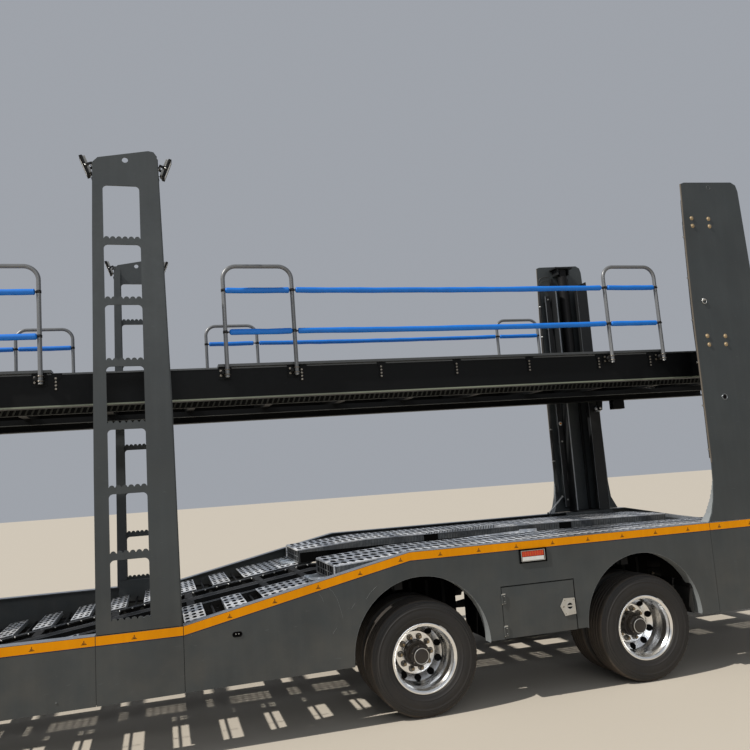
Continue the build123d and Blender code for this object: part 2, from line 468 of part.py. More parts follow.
# ---------------------------------------------------------------- ramps, bumper, lamps
RAIL_W = 40.0
for side, sy in (("left", 1), ("right", -1)):
    rails = [bx(RAMP_S[0], RAMP_S[1], sy * y, sy * (y + RAIL_W), RAMP_Z[0], RAMP_Z[1]) for y in (RAMP_Y[0], RAMP_Y[1] - RAIL_W)]
    rungs = [bx(RAMP_S[0] + 25 + 165 * k, RAMP_S[0] + 55 + 165 * k, sy * (RAMP_Y[0] + 39), sy * (RAMP_Y[1] - 39), RAMP_Z[0] + 10, RAMP_Z[1] - 10) for k in range(11)]
    end = bx(RAMP_S[1] - 30, RAMP_S[1], sy * (RAMP_Y[0] + 39), sy * (RAMP_Y[1] - 39), RAMP_Z[0], RAMP_Z[1])
    put("ramp_" + side, fuse(rails + rungs + [end]))
    # guide on each side of the ramp: an angle hung from two cross members
    for y_web, y_lip in ((RAMP_Y[0] - 14, RAMP_Y[0] + RAIL_W), (RAMP_Y[1] + 14, RAMP_Y[1] - RAIL_W)):
        w = 8 if y_lip > y_web else -8
        guide = bx(2600, 4095, sy * y_web, sy * (y_web + w), RAMP_Z[0] - 14, 780) + bx(2600, 4095, sy * y_web, sy * y_lip, RAMP_Z[0] - 14, RAMP_Z[0] - 6)
        for s in (2640, 3560):
            guide = guide + bx(s - 30, s + 30, sy * y_web, sy * (y_web + w), 780, 849.5)
        put("cross_members", guide)
    put("lamps", bx(4200.5, 4225, sy * 760, sy * 1150, 560, 680))
    put("tail_beam", bx(4110, 4150, sy * 700, sy * 740, 470, 539.5))
put("tail_beam", bx(4080, 4180, -1180, 1180, 350, 469.5))
# floodlights on the ladder columns
for sy in (1, -1):
    for s0, s1, z0, z1 in ((-2165, -2098, 3770, 3915), (-1662, -1598, 3775, 3910)):
        put("lamps", bx(s0, s1, sy * 1180, sy * 1262, z0, z1))
put("air_tanks", cy(2850, 579.5, 110, -420, 420))

# ---------------------------------------------------------------- write
if __name__ == "__main__":
    os.makedirs("parts", exist_ok=True)
    for old in os.listdir("parts"):
        if old.endswith(".step"):
            os.remove(os.path.join("parts", old))
    for name, shapes in NODES.items():
        solids = [s for sh in shapes for s in sh.solids()]
        c = Compound(label=name, children=solids)
        export_step(c, os.path.join("parts", name + ".step"))
    print(len(NODES), "nodes")
    print("pin", round(PIN_S, 2), round(PIN_Z, 2), "arm", round(L_PIN, 1))
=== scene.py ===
import json
import math
import random

import bmesh
import bpy
from mathutils import Matrix, Vector


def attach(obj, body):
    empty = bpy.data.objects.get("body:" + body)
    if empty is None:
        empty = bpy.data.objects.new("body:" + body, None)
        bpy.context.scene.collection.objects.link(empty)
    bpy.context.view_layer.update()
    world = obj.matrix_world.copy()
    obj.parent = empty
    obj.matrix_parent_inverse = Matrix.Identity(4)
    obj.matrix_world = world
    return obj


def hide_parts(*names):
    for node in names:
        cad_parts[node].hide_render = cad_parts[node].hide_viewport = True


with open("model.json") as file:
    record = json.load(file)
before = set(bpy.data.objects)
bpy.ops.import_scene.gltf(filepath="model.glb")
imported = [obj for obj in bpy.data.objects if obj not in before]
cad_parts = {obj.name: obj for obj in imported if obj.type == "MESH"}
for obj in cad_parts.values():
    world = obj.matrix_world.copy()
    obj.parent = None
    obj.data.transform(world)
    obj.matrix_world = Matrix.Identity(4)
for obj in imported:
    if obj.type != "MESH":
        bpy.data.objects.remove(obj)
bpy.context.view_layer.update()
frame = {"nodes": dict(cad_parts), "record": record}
NODES = frame["nodes"]
rnd = random.Random(7)

# ---------------------------------------------------------------- sizes shared with the part, metres
XC = -2.525                     # x = XC - s; stations s run rearward from the first axle
W2 = 1.275                      # half width over the skirts
AXLES = (0.0, 1.765)
AXLE_Z = 0.3925
Y_OUT, Y_IN = 1.134, 0.866
DECK_SLOPE = math.radians(0.6)
HINGE = (XC + 6.3, 2.326)       # x, z of the upper deck's hinge
DB_Z0, DB_H = 2.212, 0.228


def X(s):
    return XC - s


# ---------------------------------------------------------------- materials
def new_mat(name):
    m = bpy.data.materials.new(name)
    m.use_nodes = True
    nt = m.node_tree
    bsdf = nt.nodes["Principled BSDF"]
    return m, nt, bsdf


def ramp(nt, fac, stops, interp="LINEAR"):
    r = nt.nodes.new("ShaderNodeValToRGB")
    r.color_ramp.interpolation = interp
    el = r.color_ramp.elements
    while len(el) < len(stops):
        el.new(0.5)
    for e, (p, c) in zip(el, stops):
        e.position = p
        e.color = (c[0], c[1], c[2], 1) if isinstance(c, tuple) else (c, c, c, 1)
    nt.links.new(fac, r.inputs[0])
    return r.outputs[0]


def coords(nt, scale=(1, 1, 1), rot=(0, 0, 0)):
    tc = nt.nodes.new("ShaderNodeTexCoord")
    mp = nt.nodes.new("ShaderNodeMapping")
    mp.inputs["Scale"].default_value = scale
    mp.inputs["Rotation"].default_value = rot
    nt.links.new(tc.outputs["Object"], mp.inputs[0])
    return mp.outputs[0]


def noise(nt, vec, scale, detail=4, rough=0.55, dist=0.0):
    n = nt.nodes.new("ShaderNodeTexNoise")
    n.inputs["Scale"].default_value = scale
    n.inputs["Detail"].default_value = detail
    n.inputs["Roughness"].default_value = rough
    n.inputs["Distortion"].default_value = dist
    nt.links.new(vec, n.inputs["Vector"])
    return n.outputs["Fac"]


def mix(nt, fac, a, b, mode="MIX"):
    n = nt.nodes.new("ShaderNodeMix")
    n.data_type = "RGBA"
    n.blend_type = mode
    for key, v in (("Factor", fac), ("A", a), ("B", b)):
        sock = [i for i in n.inputs if i.name == key and i.enabled and (key == "Factor" or i.type == "RGBA")]
        sock = sock[0]
        if hasattr(v, "links"):
            nt.links.new(v, sock)
        elif key == "Factor":
            sock.default_value = v
        else:
            sock.default_value = (v[0], v[1], v[2], 1)
    return [o for o in n.outputs if o.type == "RGBA"][0]


def math_node(nt, op, a, b=None, clamp=False):
    n = nt.nodes.new("ShaderNodeMath")
    n.operation = op
    n.use_clamp = clamp
    for i, v in enumerate((a, b)):
        if v is None:
            continue
        if hasattr(v, "links"):
            nt.links.new(v, n.inputs[i])
        else:
            n.inputs[i].default_value = v
    return n.outputs[0]


def bump(nt, bsdf, height, strength, dist=0.002):
    b = nt.nodes.new("ShaderNodeBump")
    b.inputs["Strength"].default_value = strength
    b.inputs["Distance"].default_value = dist
    nt.links.new(height, b.inputs["Height"])
    nt.links.new(b.outputs[0], bsdf.inputs["Normal"])
    return b


def painted(name, base, rough=0.42, dust_and_bounce_tint=(0.16, 0.14, 0.11), dust_and_bounce_amount=0.25, dust_and_bounce_top=1.1, scratch=0.25, metal=0.0, vary=0.18, spec=0.5):
    m, nt, b = new_mat(name)
    b.inputs["Specular IOR Level"].default_value = spec
    v = coords(nt)
    big = noise(nt, v, 1.6, 5)
    fine = noise(nt, v, 38, 4)
    streak = noise(nt, coords(nt, (9, 9, 0.6)), 3.0, 5)
    lo = tuple(c * (1 - vary) for c in base)
    hi = tuple(c * (1 + vary) for c in base)
    col = ramp(nt, big, [(0.3, lo), (0.7, hi)])
    col = mix(nt, ramp(nt, streak, [(0.45, 0.0), (0.75, 0.22)]), col, tuple(min(1, c * 1.5) for c in base))
    # thin scratches showing lighter primer
    sc = noise(nt, coords(nt, (2.0, 2.0, 14.0), (0, 0.5, 0)), 9, 2, 0.4, 0.6)
    sc = ramp(nt, sc, [(0.735, 0.0), (0.75, scratch)])
    col = mix(nt, sc, col, tuple(min(1, c * 2.6 + 0.05) for c in base))
    # dust that thickens towards the ground; on the grey paint of the skirts it also stands for painted bounce light
    # from the floor
    geo = nt.nodes.new("ShaderNodeTexCoord")
    sep = nt.nodes.new("ShaderNodeSeparateXYZ")
    nt.links.new(geo.outputs["Object"], sep.inputs[0])
    low = nt.nodes.new("ShaderNodeMapRange")
    low.inputs["From Min"].default_value = 0.0
    low.inputs["From Max"].default_value = dust_and_bounce_top
    low.inputs["To Min"].default_value = 1.0
    low.inputs["To Max"].default_value = 0.12
    nt.links.new(sep.outputs["Z"], low.inputs["Value"])
    d = math_node(nt, "MULTIPLY", low.outputs[0], ramp(nt, noise(nt, v, 5, 6), [(0.35, 0.15), (0.75, 1.0)]))
    d = math_node(nt, "MULTIPLY", d, dust_and_bounce_amount)
    col = mix(nt, d, col, dust_and_bounce_tint)
    nt.links.new(col, b.inputs["Base Color"])
    r = nt.nodes.new("ShaderNodeMapRange")
    r.inputs["To Min"].default_value = rough - 0.07
    r.inputs["To Max"].default_value = rough + 0.12
    nt.links.new(fine, r.inputs["Value"])
    nt.links.new(r.outputs[0], b.inputs["Roughness"])
    b.inputs["Metallic"].default_value = metal
    bump(nt, b, noise(nt, v, 260, 2), 0.06, 0.0008)
    return m


def galvanised(name, base=(0.42, 0.46, 0.50), rough=0.38, metal=0.85):
    m, nt, b = new_mat(name)
    v = coords(nt)
    vo = nt.nodes.new("ShaderNodeTexVoronoi")
    vo.inputs["Scale"].default_value = 34
    nt.links.new(v, vo.inputs["Vector"])
    sep = nt.nodes.new("ShaderNodeSeparateColor")
    nt.links.new(vo.outputs["Color"], sep.inputs[0])
    col = ramp(nt, sep.outputs[0], [(0.0, tuple(c * 0.78 for c in base)), (1.0, tuple(min(1, c * 1.2) for c in base))])
    col = mix(nt, ramp(nt, noise(nt, v, 3.5, 6), [(0.42, 0.0), (0.72, 0.55)]), col, (0.20, 0.19, 0.175))
    nt.links.new(col, b.inputs["Base Color"])
    r = nt.nodes.new("ShaderNodeMapRange")
    r.inputs["To Min"].default_value = rough - 0.1
    r.inputs["To Max"].default_value = rough + 0.18
    nt.links.new(noise(nt, v, 14, 4), r.inputs["Value"])
    nt.links.new(r.outputs[0], b.inputs["Roughness"])
    b.inputs["Metallic"].default_value = metal
    bump(nt, b, noise(nt, v, 90, 3), 0.12, 0.001)
    return m


def metal(name, base=(0.8, 0.8, 0.8), rough=0.16, grime=(0.12, 0.10, 0.08), amount=0.3):
    m, nt, b = new_mat(name)
    v = coords(nt)
    g = ramp(nt, noise(nt, v, 11, 6), [(0.45, 0.0), (0.8, amount)])
    col = mix(nt, g, base, grime)
    nt.links.new(col, b.inputs["Base Color"])
    r = nt.nodes.new("ShaderNodeMapRange")
    r.inputs["To Min"].default_value = rough * 0.7
    r.inputs["To Max"].default_value = rough + 0.16
    nt.links.new(noise(nt, v, 30, 4), r.inputs["Value"])
    nt.links.new(r.outputs[0], b.inputs["Roughness"])
    b.inputs["Metallic"].default_value = 1.0
    bump(nt, b, noise(nt, v, 180, 2), 0.05, 0.0006)
    return m


M = {
    # grey paint: the strong lightening towards the ground is dust and painted bounce light from the floor
    "grey": painted("grey_paint", (0.0405, 0.0475, 0.0500), 0.40, dust_and_bounce_amount=0.36, dust_and_bounce_top=1.25, spec=0.40),
    "black": painted("deck_black", (0.0028, 0.0034, 0.0040), 0.48, dust_and_bounce_amount=0.015, dust_and_bounce_top=4.0, scratch=0.10, spec=0.13),
    "chassis": painted("chassis_black", (0.0055, 0.0056, 0.0062), 0.55, dust_and_bounce_amount=0.09, dust_and_bounce_top=1.2, spec=0.2),
    "galv": galvanised("galvanised", (0.58, 0.62, 0.66), 0.32),
    "bright": metal("bright_steel", (0.75, 0.75, 0.74), 0.18),
    "rim": metal("polished_rim", (0.90, 0.90, 0.89), 0.17, amount=0.10),
    "tyre": painted("tyre_rubber", (0.0098, 0.0090, 0.0086), 0.60, dust_and_bounce_tint=(0.10, 0.075, 0.055), dust_and_bounce_amount=0.15, dust_and_bounce_top=0.9, scratch=0.0),
    "hub": painted("hub_black", (0.028, 0.022, 0.018), 0.5, dust_and_bounce_amount=0.3),
    "blue": painted("blue_sleeve", (0.0, 0.155, 0.60), 0.5, dust_and_bounce_amount=0.04, scratch=0.0, vary=0.08),
    "tube": painted("tube_grey", (0.16, 0.165, 0.17), 0.34, dust_and_bounce_amount=0.05, metal=0.35),
    "cap": painted("cap_grey", (0.064, 0.069, 0.072), 0.38, dust_and_bounce_amount=0.1),
    "lens": painted("lamp_lens", (0.72, 0.70, 0.62), 0.2, dust_and_bounce_amount=0.05, scratch=0.0, vary=0.05),
    "orange": painted("stripe_orange", (0.74, 0.270, 0.0), 0.5, dust_and_bounce_amount=0.0, scratch=0.03, vary=0.09, spec=0.10),
    "navy": painted("stripe_lower_line", (0.010, 0.018, 0.052), 0.5, dust_and_bounce_amount=0.05, scratch=0.02, spec=0.2),
    "tick": painted("stripe_mark", (0.110, 0.046, 0.008), 0.5, dust_and_bounce_amount=0.0, scratch=0.0, spec=0.2),
    "dark": painted("shadow_black", (0.003, 0.003, 0.003), 0.8, dust_and_bounce_amount=0.02, scratch=0.0, spec=0.08),
    "zinc": metal("zinc_plate", (0.62, 0.62, 0.60), 0.3, amount=0.35),
    "worn": metal("worn_edge", (0.30, 0.32, 0.34), 0.42, amount=0.5),
    "hose": painted("hose_rubber", (0.012, 0.012, 0.012), 0.5, dust_and_bounce_amount=0.1, scratch=0.0),
    "rust": painted("bolt_brown", (0.36, 0.27, 0.16), 0.42, dust_and_bounce_amount=0.1, scratch=0.0, metal=0.55),
    "red": painted("lens_red", (0.50, 0.030, 0.010), 0.18, dust_and_bounce_amount=0.0, scratch=0.0, vary=0.08),
    "amber": painted("lens_amber", (0.60, 0.17, 0.006), 0.18, dust_and_bounce_amount=0.0, scratch=0.0, vary=0.08),
    "white": painted("plate_white", (0.70, 0.70, 0.68), 0.35, dust_and_bounce_amount=0.1, scratch=0.0, vary=0.05),
    "edge": metal("bright_edge", (0.55, 0.58, 0.62), 0.34, amount=0.35),
    "nut": metal("wheel_nut", (0.26, 0.235, 0.20), 0.34, amount=0.5),
    "tread": painted("tyre_tread", (0.020, 0.017, 0.014), 0.75, dust_and_bounce_tint=(0.15, 0.105, 0.070), dust_and_bounce_amount=0.42, dust_and_bounce_top=1.0, scratch=0.0),
    "fin": painted("lamp_fins", (0.20, 0.20, 0.19), 0.35, dust_and_bounce_amount=0.05, scratch=0.0, metal=0.3),
    "track": painted("deck_track", (0.075, 0.080, 0.082), 0.42, dust_and_bounce_amount=0.10, dust_and_bounce_top=4.0, scratch=0.35, metal=0.25),
    "pale": painted("beam_edge_painted_highlight", (0.17, 0.19, 0.14), 0.45, dust_and_bounce_amount=0.10, dust_and_bounce_top=4.0, scratch=0.0),
    "ribs": painted("rib_painted_highlight", (0.040, 0.043, 0.040), 0.42, dust_and_bounce_amount=0.10, dust_and_bounce_top=4.0, scratch=0.0, metal=0.2),
    # darker copy of the column paint for its inner parts: painted shade
    "column": painted("column_inner_painted_shade", (0.012, 0.013, 0.014), 0.42, dust_and_bounce_amount=0.05, dust_and_bounce_top=3.0, spec=0.3),
    "arch": painted("arch_pale_and_painted_light", (0.20, 0.215, 0.22), 0.36, dust_and_bounce_amount=0.10, scratch=0.0),
    "brownedge": painted("worn_paint_edge", (0.115, 0.098, 0.078), 0.55, dust_and_bounce_amount=0.2, dust_and_bounce_top=4.0, scratch=0.6),
    "bare": metal("cylinder_tube", (0.33, 0.34, 0.35), 0.30, amount=0.35),
    # lighter copy of the galvanised finish for faces the sun falls on: painted light
    "plate": galvanised("galvanised_painted_sunlit", (0.84, 0.90, 0.98), 0.30, 0.55),
    # darker copy of the galvanised finish for faces in shade: painted shade
    "galv_shaded": galvanised("galvanised_shaded", (0.15, 0.16, 0.165), 0.46, 0.55),
    "scuff": painted("paint_scuff", (0.150, 0.160, 0.165), 0.5, dust_and_bounce_amount=0.0, scratch=0.6, vary=0.3),
    "spring": painted("spring_leaf", (0.024, 0.020, 0.017), 0.6, dust_and_bounce_amount=0.5, dust_and_bounce_top=1.0),
}
SLOT_MAT = {"grey_paint": "grey", "deck_black": "black", "chassis_black": "chassis", "galvanised": "galv", "bright_steel": "bright",
            "polished_rim": "rim", "tyre_rubber": "tyre", "blue_sleeve": "blue", "lamp_lens": "lens"}
NODE_MAT = {"guard_hoops": "tube", "front_guard_hoops": "tube", "deck_edge_caps": "cap"}
slot_of = {p["node"]: p["material_slot"] for p in frame["record"]["subparts"]}
for name, ob in NODES.items():
    key = NODE_MAT.get(name) or SLOT_MAT[slot_of[name]]
    if name.endswith("_hub"):
        key = "hub"
    ob.data.materials.clear()
    ob.data.materials.append(M[key])

# ---------------------------------------------------------------- mesh builder
class Bag:
    """Collects simple shapes into one joined mesh."""

    def __init__(self, name):
        self.name, self.v, self.f, self.m, self.s, self.mats = name, [], [], [], [], []

    def slot(self, key):
        if key not in self.mats:
            self.mats.append(key)
        return self.mats.index(key)

    def add(self, verts, faces, key, smooth=False, T=None):
        base = len(self.v)
        if T is not None:
            verts = [T @ Vector(p) for p in verts]
        self.v.extend((p[0], p[1], p[2]) for p in verts)
        self.f.extend(tuple(i + base for i in f) for f in faces)
        k = self.slot(key)
        self.m.extend([k] * len(faces))
        self.s.extend([smooth] * len(faces))

    def box(self, x0, x1, y0, y1, z0, z1, key, bev=0.002, T=None):
        c = ((x0 + x1) / 2, (y0 + y1) / 2, (z0 + z1) / 2)
        h = (abs(x1 - x0) / 2, abs(y1 - y0) / 2, abs(z1 - z0) / 2)
        b = min(bev, 0.3 * min(h))
        verts, idx = [], {}
        for sx in (-1, 1):
            for sy in (-1, 1):
                for sz in (-1, 1):
                    for a in range(3):
                        p = [sx * (h[0] - b), sy * (h[1] - b), sz * (h[2] - b)]
                        p[a] = (sx, sy, sz)[a] * h[a]
                        idx[(sx, sy, sz, a)] = len(verts)
                        verts.append((c[0] + p[0], c[1] + p[1], c[2] + p[2]))
        faces = []
        for a in range(3):
            o = [i for i in range(3) if i != a]
            for sg in (-1, 1):
                ring = []
                for u, w in ((-1, -1), (1, -1), (1, 1), (-1, 1)):
                    k = [0, 0, 0]
                    k[a], k[o[0]], k[o[1]] = sg, u, w
                    ring.append(idx[(k[0], k[1], k[2], a)])
                faces.append(tuple(ring))
            for u in (-1, 1):
                for w in (-1, 1):
                    k0, k1 = [0, 0, 0], [0, 0, 0]
                    k0[a], k1[a] = -1, 1
                    k0[o[0]] = k1[o[0]] = u
                    k0[o[1]] = k1[o[1]] = w
                    faces.append((idx[(*k0, o[0])], idx[(*k1, o[0])], idx[(*k1, o[1])], idx[(*k0, o[1])]))
        for sx in (-1, 1):
            for sy in (-1, 1):
                for sz in (-1, 1):
                    faces.append(tuple(idx[(sx, sy, sz, a)] for a in range(3)))
        self.add(verts, faces, key, False, T)

    def lathe(self, profile, centre, axis, key, seg=48, closed=False, T=None, smooth=True, keys=None):
        """profile: (radius, offset along the axis); keys: one material per profile segment"""
        ax = Vector(axis).normalized()
        u = ax.orthogonal().normalized()
        w = ax.cross(u)
        c = Vector(centre)
        rows = []
        for r, o in profile:
            row = []
            if r < 1e-6:
                row = [len(self.v)]
                self.v.append(tuple((T @ (c + ax * o)) if T else (c + ax * o)))
            else:
                for k in range(seg):
                    t = 2 * math.pi * k / seg
                    p = c + ax * o + u * (r * math.cos(t)) + w * (r * math.sin(t))
                    if T is not None:
                        p = T @ p
                    row.append(len(self.v))
                    self.v.append((p.x, p.y, p.z))
            rows.append(row)
        n = len(rows)
        pairs = [(i, (i + 1) % n) for i in range(n if closed else n - 1)]
        for j, (a, b) in enumerate(pairs):
            ra, rb = rows[a], rows[b]
            k = self.slot(keys[j] if keys else key)
            for i in range(seg):
                i2 = (i + 1) % seg
                if len(ra) == 1 and len(rb) == 1:
                    continue
                if len(ra) == 1:
                    f = (ra[0], rb[i2], rb[i])
                elif len(rb) == 1:
                    f = (ra[i], ra[i2], rb[0])
                else:
                    f = (ra[i], ra[i2], rb[i2], rb[i])
                self.f.append(f)
                self.m.append(k)
                self.s.append(smooth)

    def rod(self, p0, p1, r, key, seg=20, ch=0.0015, T=None):
        """cylinder between two points with a small chamfer at each end"""
        a, b = Vector(p0), Vector(p1)
        n = (b - a).length
        ch = min(ch, r * 0.3, n * 0.3)
        self.lathe([(0, 0), (r - ch, 0), (r, ch), (r, n - ch), (r - ch, n), (0, n)], a, b - a, key, seg, T=T)

    def tube(self, pts, r, key, seg=12, T=None, closed_ends=True):
        """round bar along a smooth list of points"""
        pts = [Vector(p) for p in pts]
        tan = [(pts[min(i + 1, len(pts) - 1)] - pts[max(i - 1, 0)]).normalized() for i in range(len(pts))]
        u = tan[0].orthogonal().normalized()
        rows = []
        for i, p in enumerate(pts):
            if i:
                q = tan[i - 1].rotation_difference(tan[i])
                u = (q @ u).normalized()
            w = tan[i].cross(u)
            rad = r[i] if isinstance(r, (list, tuple)) else r
            row = []
            for k in range(seg):
                t = 2 * math.pi * k / seg
                q2 = p + u * (rad * math.cos(t)) + w * (rad * math.sin(t))
                row.append(q2 if T is None else T @ q2)
            rows.append(row)
        verts = [c for row in rows for c in row]
        faces = [(i * seg + k, i * seg + (k + 1) % seg, (i + 1) * seg + (k + 1) % seg, (i + 1) * seg + k) for i in range(len(rows) - 1) for k in range(seg)]
        self.add(verts, faces, key, True)
        if closed_ends:
            n = len(rows)
            self.add(rows[0] + rows[-1], [tuple(range(seg))[::-1], tuple(range(seg, 2 * seg))], key)

    def prism(self, outline, y0, y1, key, T=None, smooth=False):
        """outline of (x, z) between two y planes"""
        n = len(outline)
        verts = [(x, y0, z) for x, z in outline] + [(x, y1, z) for x, z in outline]
        faces = [tuple(range(n)), tuple(range(2 * n - 1, n - 1, -1))] + [(i, (i + 1) % n, n + (i + 1) % n, n + i) for i in range(n)]
        self.add(verts, faces, key, smooth, T)

    def nut(self, c, axis, af, h, key, T=None, dome=True):
        """hexagon nut or bolt head, across flats af"""
        ax = Vector(axis).normalized()
        u = ax.orthogonal().normalized()
        w = ax.cross(u)
        c = Vector(c)
        r = af / 2 / math.cos(math.pi / 6)
        verts = []
        for o, rr in ((0, r), (h * 0.85, r), (h, r * 0.82)):
            for k in range(6):
                t = math.pi / 3 * k
                verts.append(c + ax * o + u * (rr * math.cos(t)) + w * (rr * math.sin(t)))
        faces = [tuple(range(5, -1, -1)), tuple(range(12, 18))]
        for j in (0, 6):
            faces += [(j + k, j + (k + 1) % 6, j + 6 + (k + 1) % 6, j + 6 + k) for k in range(6)]
        self.add(verts, faces, key, False, T)

    def perf(self, x0, x1, y0, y1, nx, ny, hx, hy, thick, key, T=None, under=True, rim=0.0, wall=None, shift=0.0):
        """flat plate at z = 0 (top) with nx by ny eight-sided holes of half sizes hx, hy; rim raises each hole's edge"""
        dx, dy = (x1 - x0) / nx, (y1 - y0) / ny
        oct_ = [(math.cos(math.pi / 8 + k * math.pi / 4), math.sin(math.pi / 8 + k * math.pi / 4)) for k in range(8)]
        verts, faces, walls = [], [], []
        grid = {}

        def g(i, j, lvl):
            if (i, j, lvl) not in grid:
                grid[(i, j, lvl)] = len(verts)
                verts.append((x0 + i * dx, y0 + j * dy, -thick * lvl))
            return grid[(i, j, lvl)]

        for i in range(nx):
            for j in range(ny):
                cx, cyy = x0 + (i + 0.5) * dx + (shift if j % 2 else -shift), y0 + (j + 0.5) * dy
                for lvl in (0, 1):
                    if lvl and not under:
                        continue
                    base = len(verts)
                    for a, b in oct_:
                        verts.append((cx + a * hx * 1.08, cyy + b * hy * 1.08, -thick * lvl + (rim if lvl == 0 else 0)))
                    o = [base + k for k in range(8)]
                    c = [g(i + 1, j + 1, lvl), g(i, j + 1, lvl), g(i, j, lvl), g(i + 1, j, lvl)]
                    q = [(c[0], c[1], o[2], o[1]), (c[1], c[2], o[4], o[3]), (c[2], c[3], o[6], o[5]), (c[3], c[0], o[0], o[7]),
                         (c[0], o[1], o[0]), (c[1], o[3], o[2]), (c[2], o[5], o[4]), (c[3], o[7], o[6])]
                    faces += q
                    if lvl == 0:
                        top = o
                if not under:
                    base = len(verts)
                    for a, b in oct_:
                        verts.append((cx + a * hx, cyy + b * hy, -thick))
                    o = [base + k for k in range(8)]
                ring = [verts[i2] for i2 in top + o]
                walls += [[ring[k], ring[(k + 1) % 8], ring[8 + (k + 1) % 8], ring[8 + k]] for k in range(8)]
        # outer edge
        if under:
            for i in range(nx):
                for j in (0, ny):
                    faces.append((g(i, j, 0), g(i + 1, j, 0), g(i + 1, j, 1), g(i, j, 1)))
            for j in range(ny):
                for i in (0, nx):
                    faces.append((g(i, j, 0), g(i, j + 1, 0), g(i, j + 1, 1), g(i, j, 1)))
        self.add(verts, faces, key, False, T)
        # walls of the holes, which can take another material; in black they are painted shade in the holes
        self.add([c for w in walls for c in w], [tuple(range(4 * n, 4 * n + 4)) for n in range(len(walls))], wall or key, False, T)

    def build(self, body, replaces=()):
        me = bpy.data.meshes.new(self.name)
        me.from_pydata(self.v, [], self.f)
        me.polygons.foreach_set("material_index", self.m)
        me.polygons.foreach_set("use_smooth", self.s)
        for k in self.mats:
            me.materials.append(M[k])
        bm = bmesh.new()
        bm.from_mesh(me)
        bmesh.ops.recalc_face_normals(bm, faces=bm.faces)
        bm.to_mesh(me)
        bm.free()
        me.validate()
        me.update()
        ob = bpy.data.objects.new(self.name, me)
        bpy.context.scene.collection.objects.link(ob)
        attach(ob, body)
        if replaces:
            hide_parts(*replaces)
        return ob


def deck_T():
    """places a piece drawn on the level upper deck onto the deck's slope"""
    hx, hz = HINGE
    return Matrix.Translation((hx, 0, hz)) @ Matrix.Rotation(DECK_SLOPE, 4, "Y") @ Matrix.Translation((-hx, 0, -hz))


DT = deck_T()
def P(s, y, z):
    return (X(s), y, z)


SIDES = ((1, "left"), (-1, "right"))

# ---------------------------------------------------------------- stripe along the skirts' top edge
TOP = [(-9.350, 1.400), (-6.150, 1.400), (-5.350, 0.802), (-1.602, 0.802), (-0.075, 1.120), (3.300, 1.120), (4.150, 0.950)]
SEAMS = (-6.1585, -2.127, -1.604, 2.405)


def top_z(s):
    for (a, za), (b, zb) in zip(TOP, TOP[1:]):
        if a <= s <= b:
            return za + (zb - za) * (s - a) / (b - a)
    return TOP[-1][1]


b = Bag("stripe_tape")
for sg, _ in SIDES:
    cuts = sorted([s for s, _ in TOP] + [c + d for c in SEAMS for d in (-0.0022, 0.0022)])
    for s0, s1 in zip(cuts, cuts[1:]):
        if s1 - s0 < 0.01 or any(abs((s0 + s1) / 2 - c) < 0.002 for c in SEAMS):
            continue
        z0, z1 = top_z(s0 + 1e-6) - 0.003, top_z(s1 - 1e-6) - 0.003
        b.prism([(X(s0), z0), (X(s1), z1), (X(s1), z1 - 0.054), (X(s0), z0 - 0.054)], sg * (W2 + 0.0002), sg * (W2 + 0.0009), "orange")
        b.prism([(X(s0), z0 - 0.0535), (X(s1), z1 - 0.0535), (X(s1), z1 - 0.0585), (X(s0), z0 - 0.0585)], sg * (W2 + 0.0002), sg * (W2 + 0.0007), "navy")
    # faint generic marks at even steps, a short bar on a foot
    s = -9.2217
    while s < 4.10:
        z = top_z(s) - 0.030
        if not any(abs(s - c) < 0.03 for c in SEAMS):
            for ds, dz, hw, hh in ((0, -0.0115, 0.0160, 0.0022), (0, 0, 0.0026, 0.0115), (-0.007, -0.005, 0.0022, 0.0055), (0.007, -0.006, 0.0018, 0.0045)):
                b.prism([(X(s + ds) - hw, z + dz - hh), (X(s + ds) + hw, z + dz - hh), (X(s + ds) + hw, z + dz + hh), (X(s + ds) - hw, z + dz + hh)], sg * (W2 + 0.0008), sg * (W2 + 0.0011), "tick")
        s += 0.2929
b.build("trailer")
SCUFFS = (((-0.723, 0.907), (-0.703, 0.875), (-0.696, 0.850)),
          ((-0.665, 0.946), (-0.629, 0.909), (-0.601, 0.858), (-0.586, 0.796), (-0.571, 0.735)),
          ((-0.327, 0.914), (-0.369, 0.881), (-0.404, 0.837)),
          ((-0.618, 0.675), (-0.645, 0.643)), ((-0.482, 0.821), (-0.510, 0.788)), ((-1.552, 0.734), (-1.565, 0.752)))


def bar_line(bag, pts, y0, y1, t, key):
    """flat strip of height t lying on a line of (s, z) points"""
    for (s0, z0), (s1, z1) in zip(pts, pts[1:]):
        bag.prism([(X(s0), z0), (X(s1), z1), (X(s1), z1 + t), (X(s0), z0 + t)], y0, y1, key)


def track_z(s):
    if s <= -3.230:
        return 0.550
    if s >= -0.520:
        return 0.938
    return 0.550 + (s + 3.230) * 0.388 / 2.710


RISE = math.atan2(0.388, 2.710)

# ---------------------------------------------------------------- bright folded edge along the skirts' top
b = Bag("skirt_top_edge")
for sg, _ in SIDES:
    for s0, s1 in ((-6.150, SEAMS[1] - 0.0015), (SEAMS[1] + 0.0015, SEAMS[2] - 0.0015), (SEAMS[2] + 0.0015, SEAMS[3] - 0.0015), (SEAMS[3] + 0.0015, 4.15)):
        knots = [(s0, top_z(s0))] + [p for p in TOP if s0 < p[0] < s1] + [(s1, top_z(s1))]
        if s0 > -2.2 and s1 < -1.6:
            continue
        bar_line(b, [(s, z + 0.0002) for s, z in knots], sg * (W2 - 0.0915), sg * (W2 - 0.0005), 0.0012, "edge")
b.build("trailer")

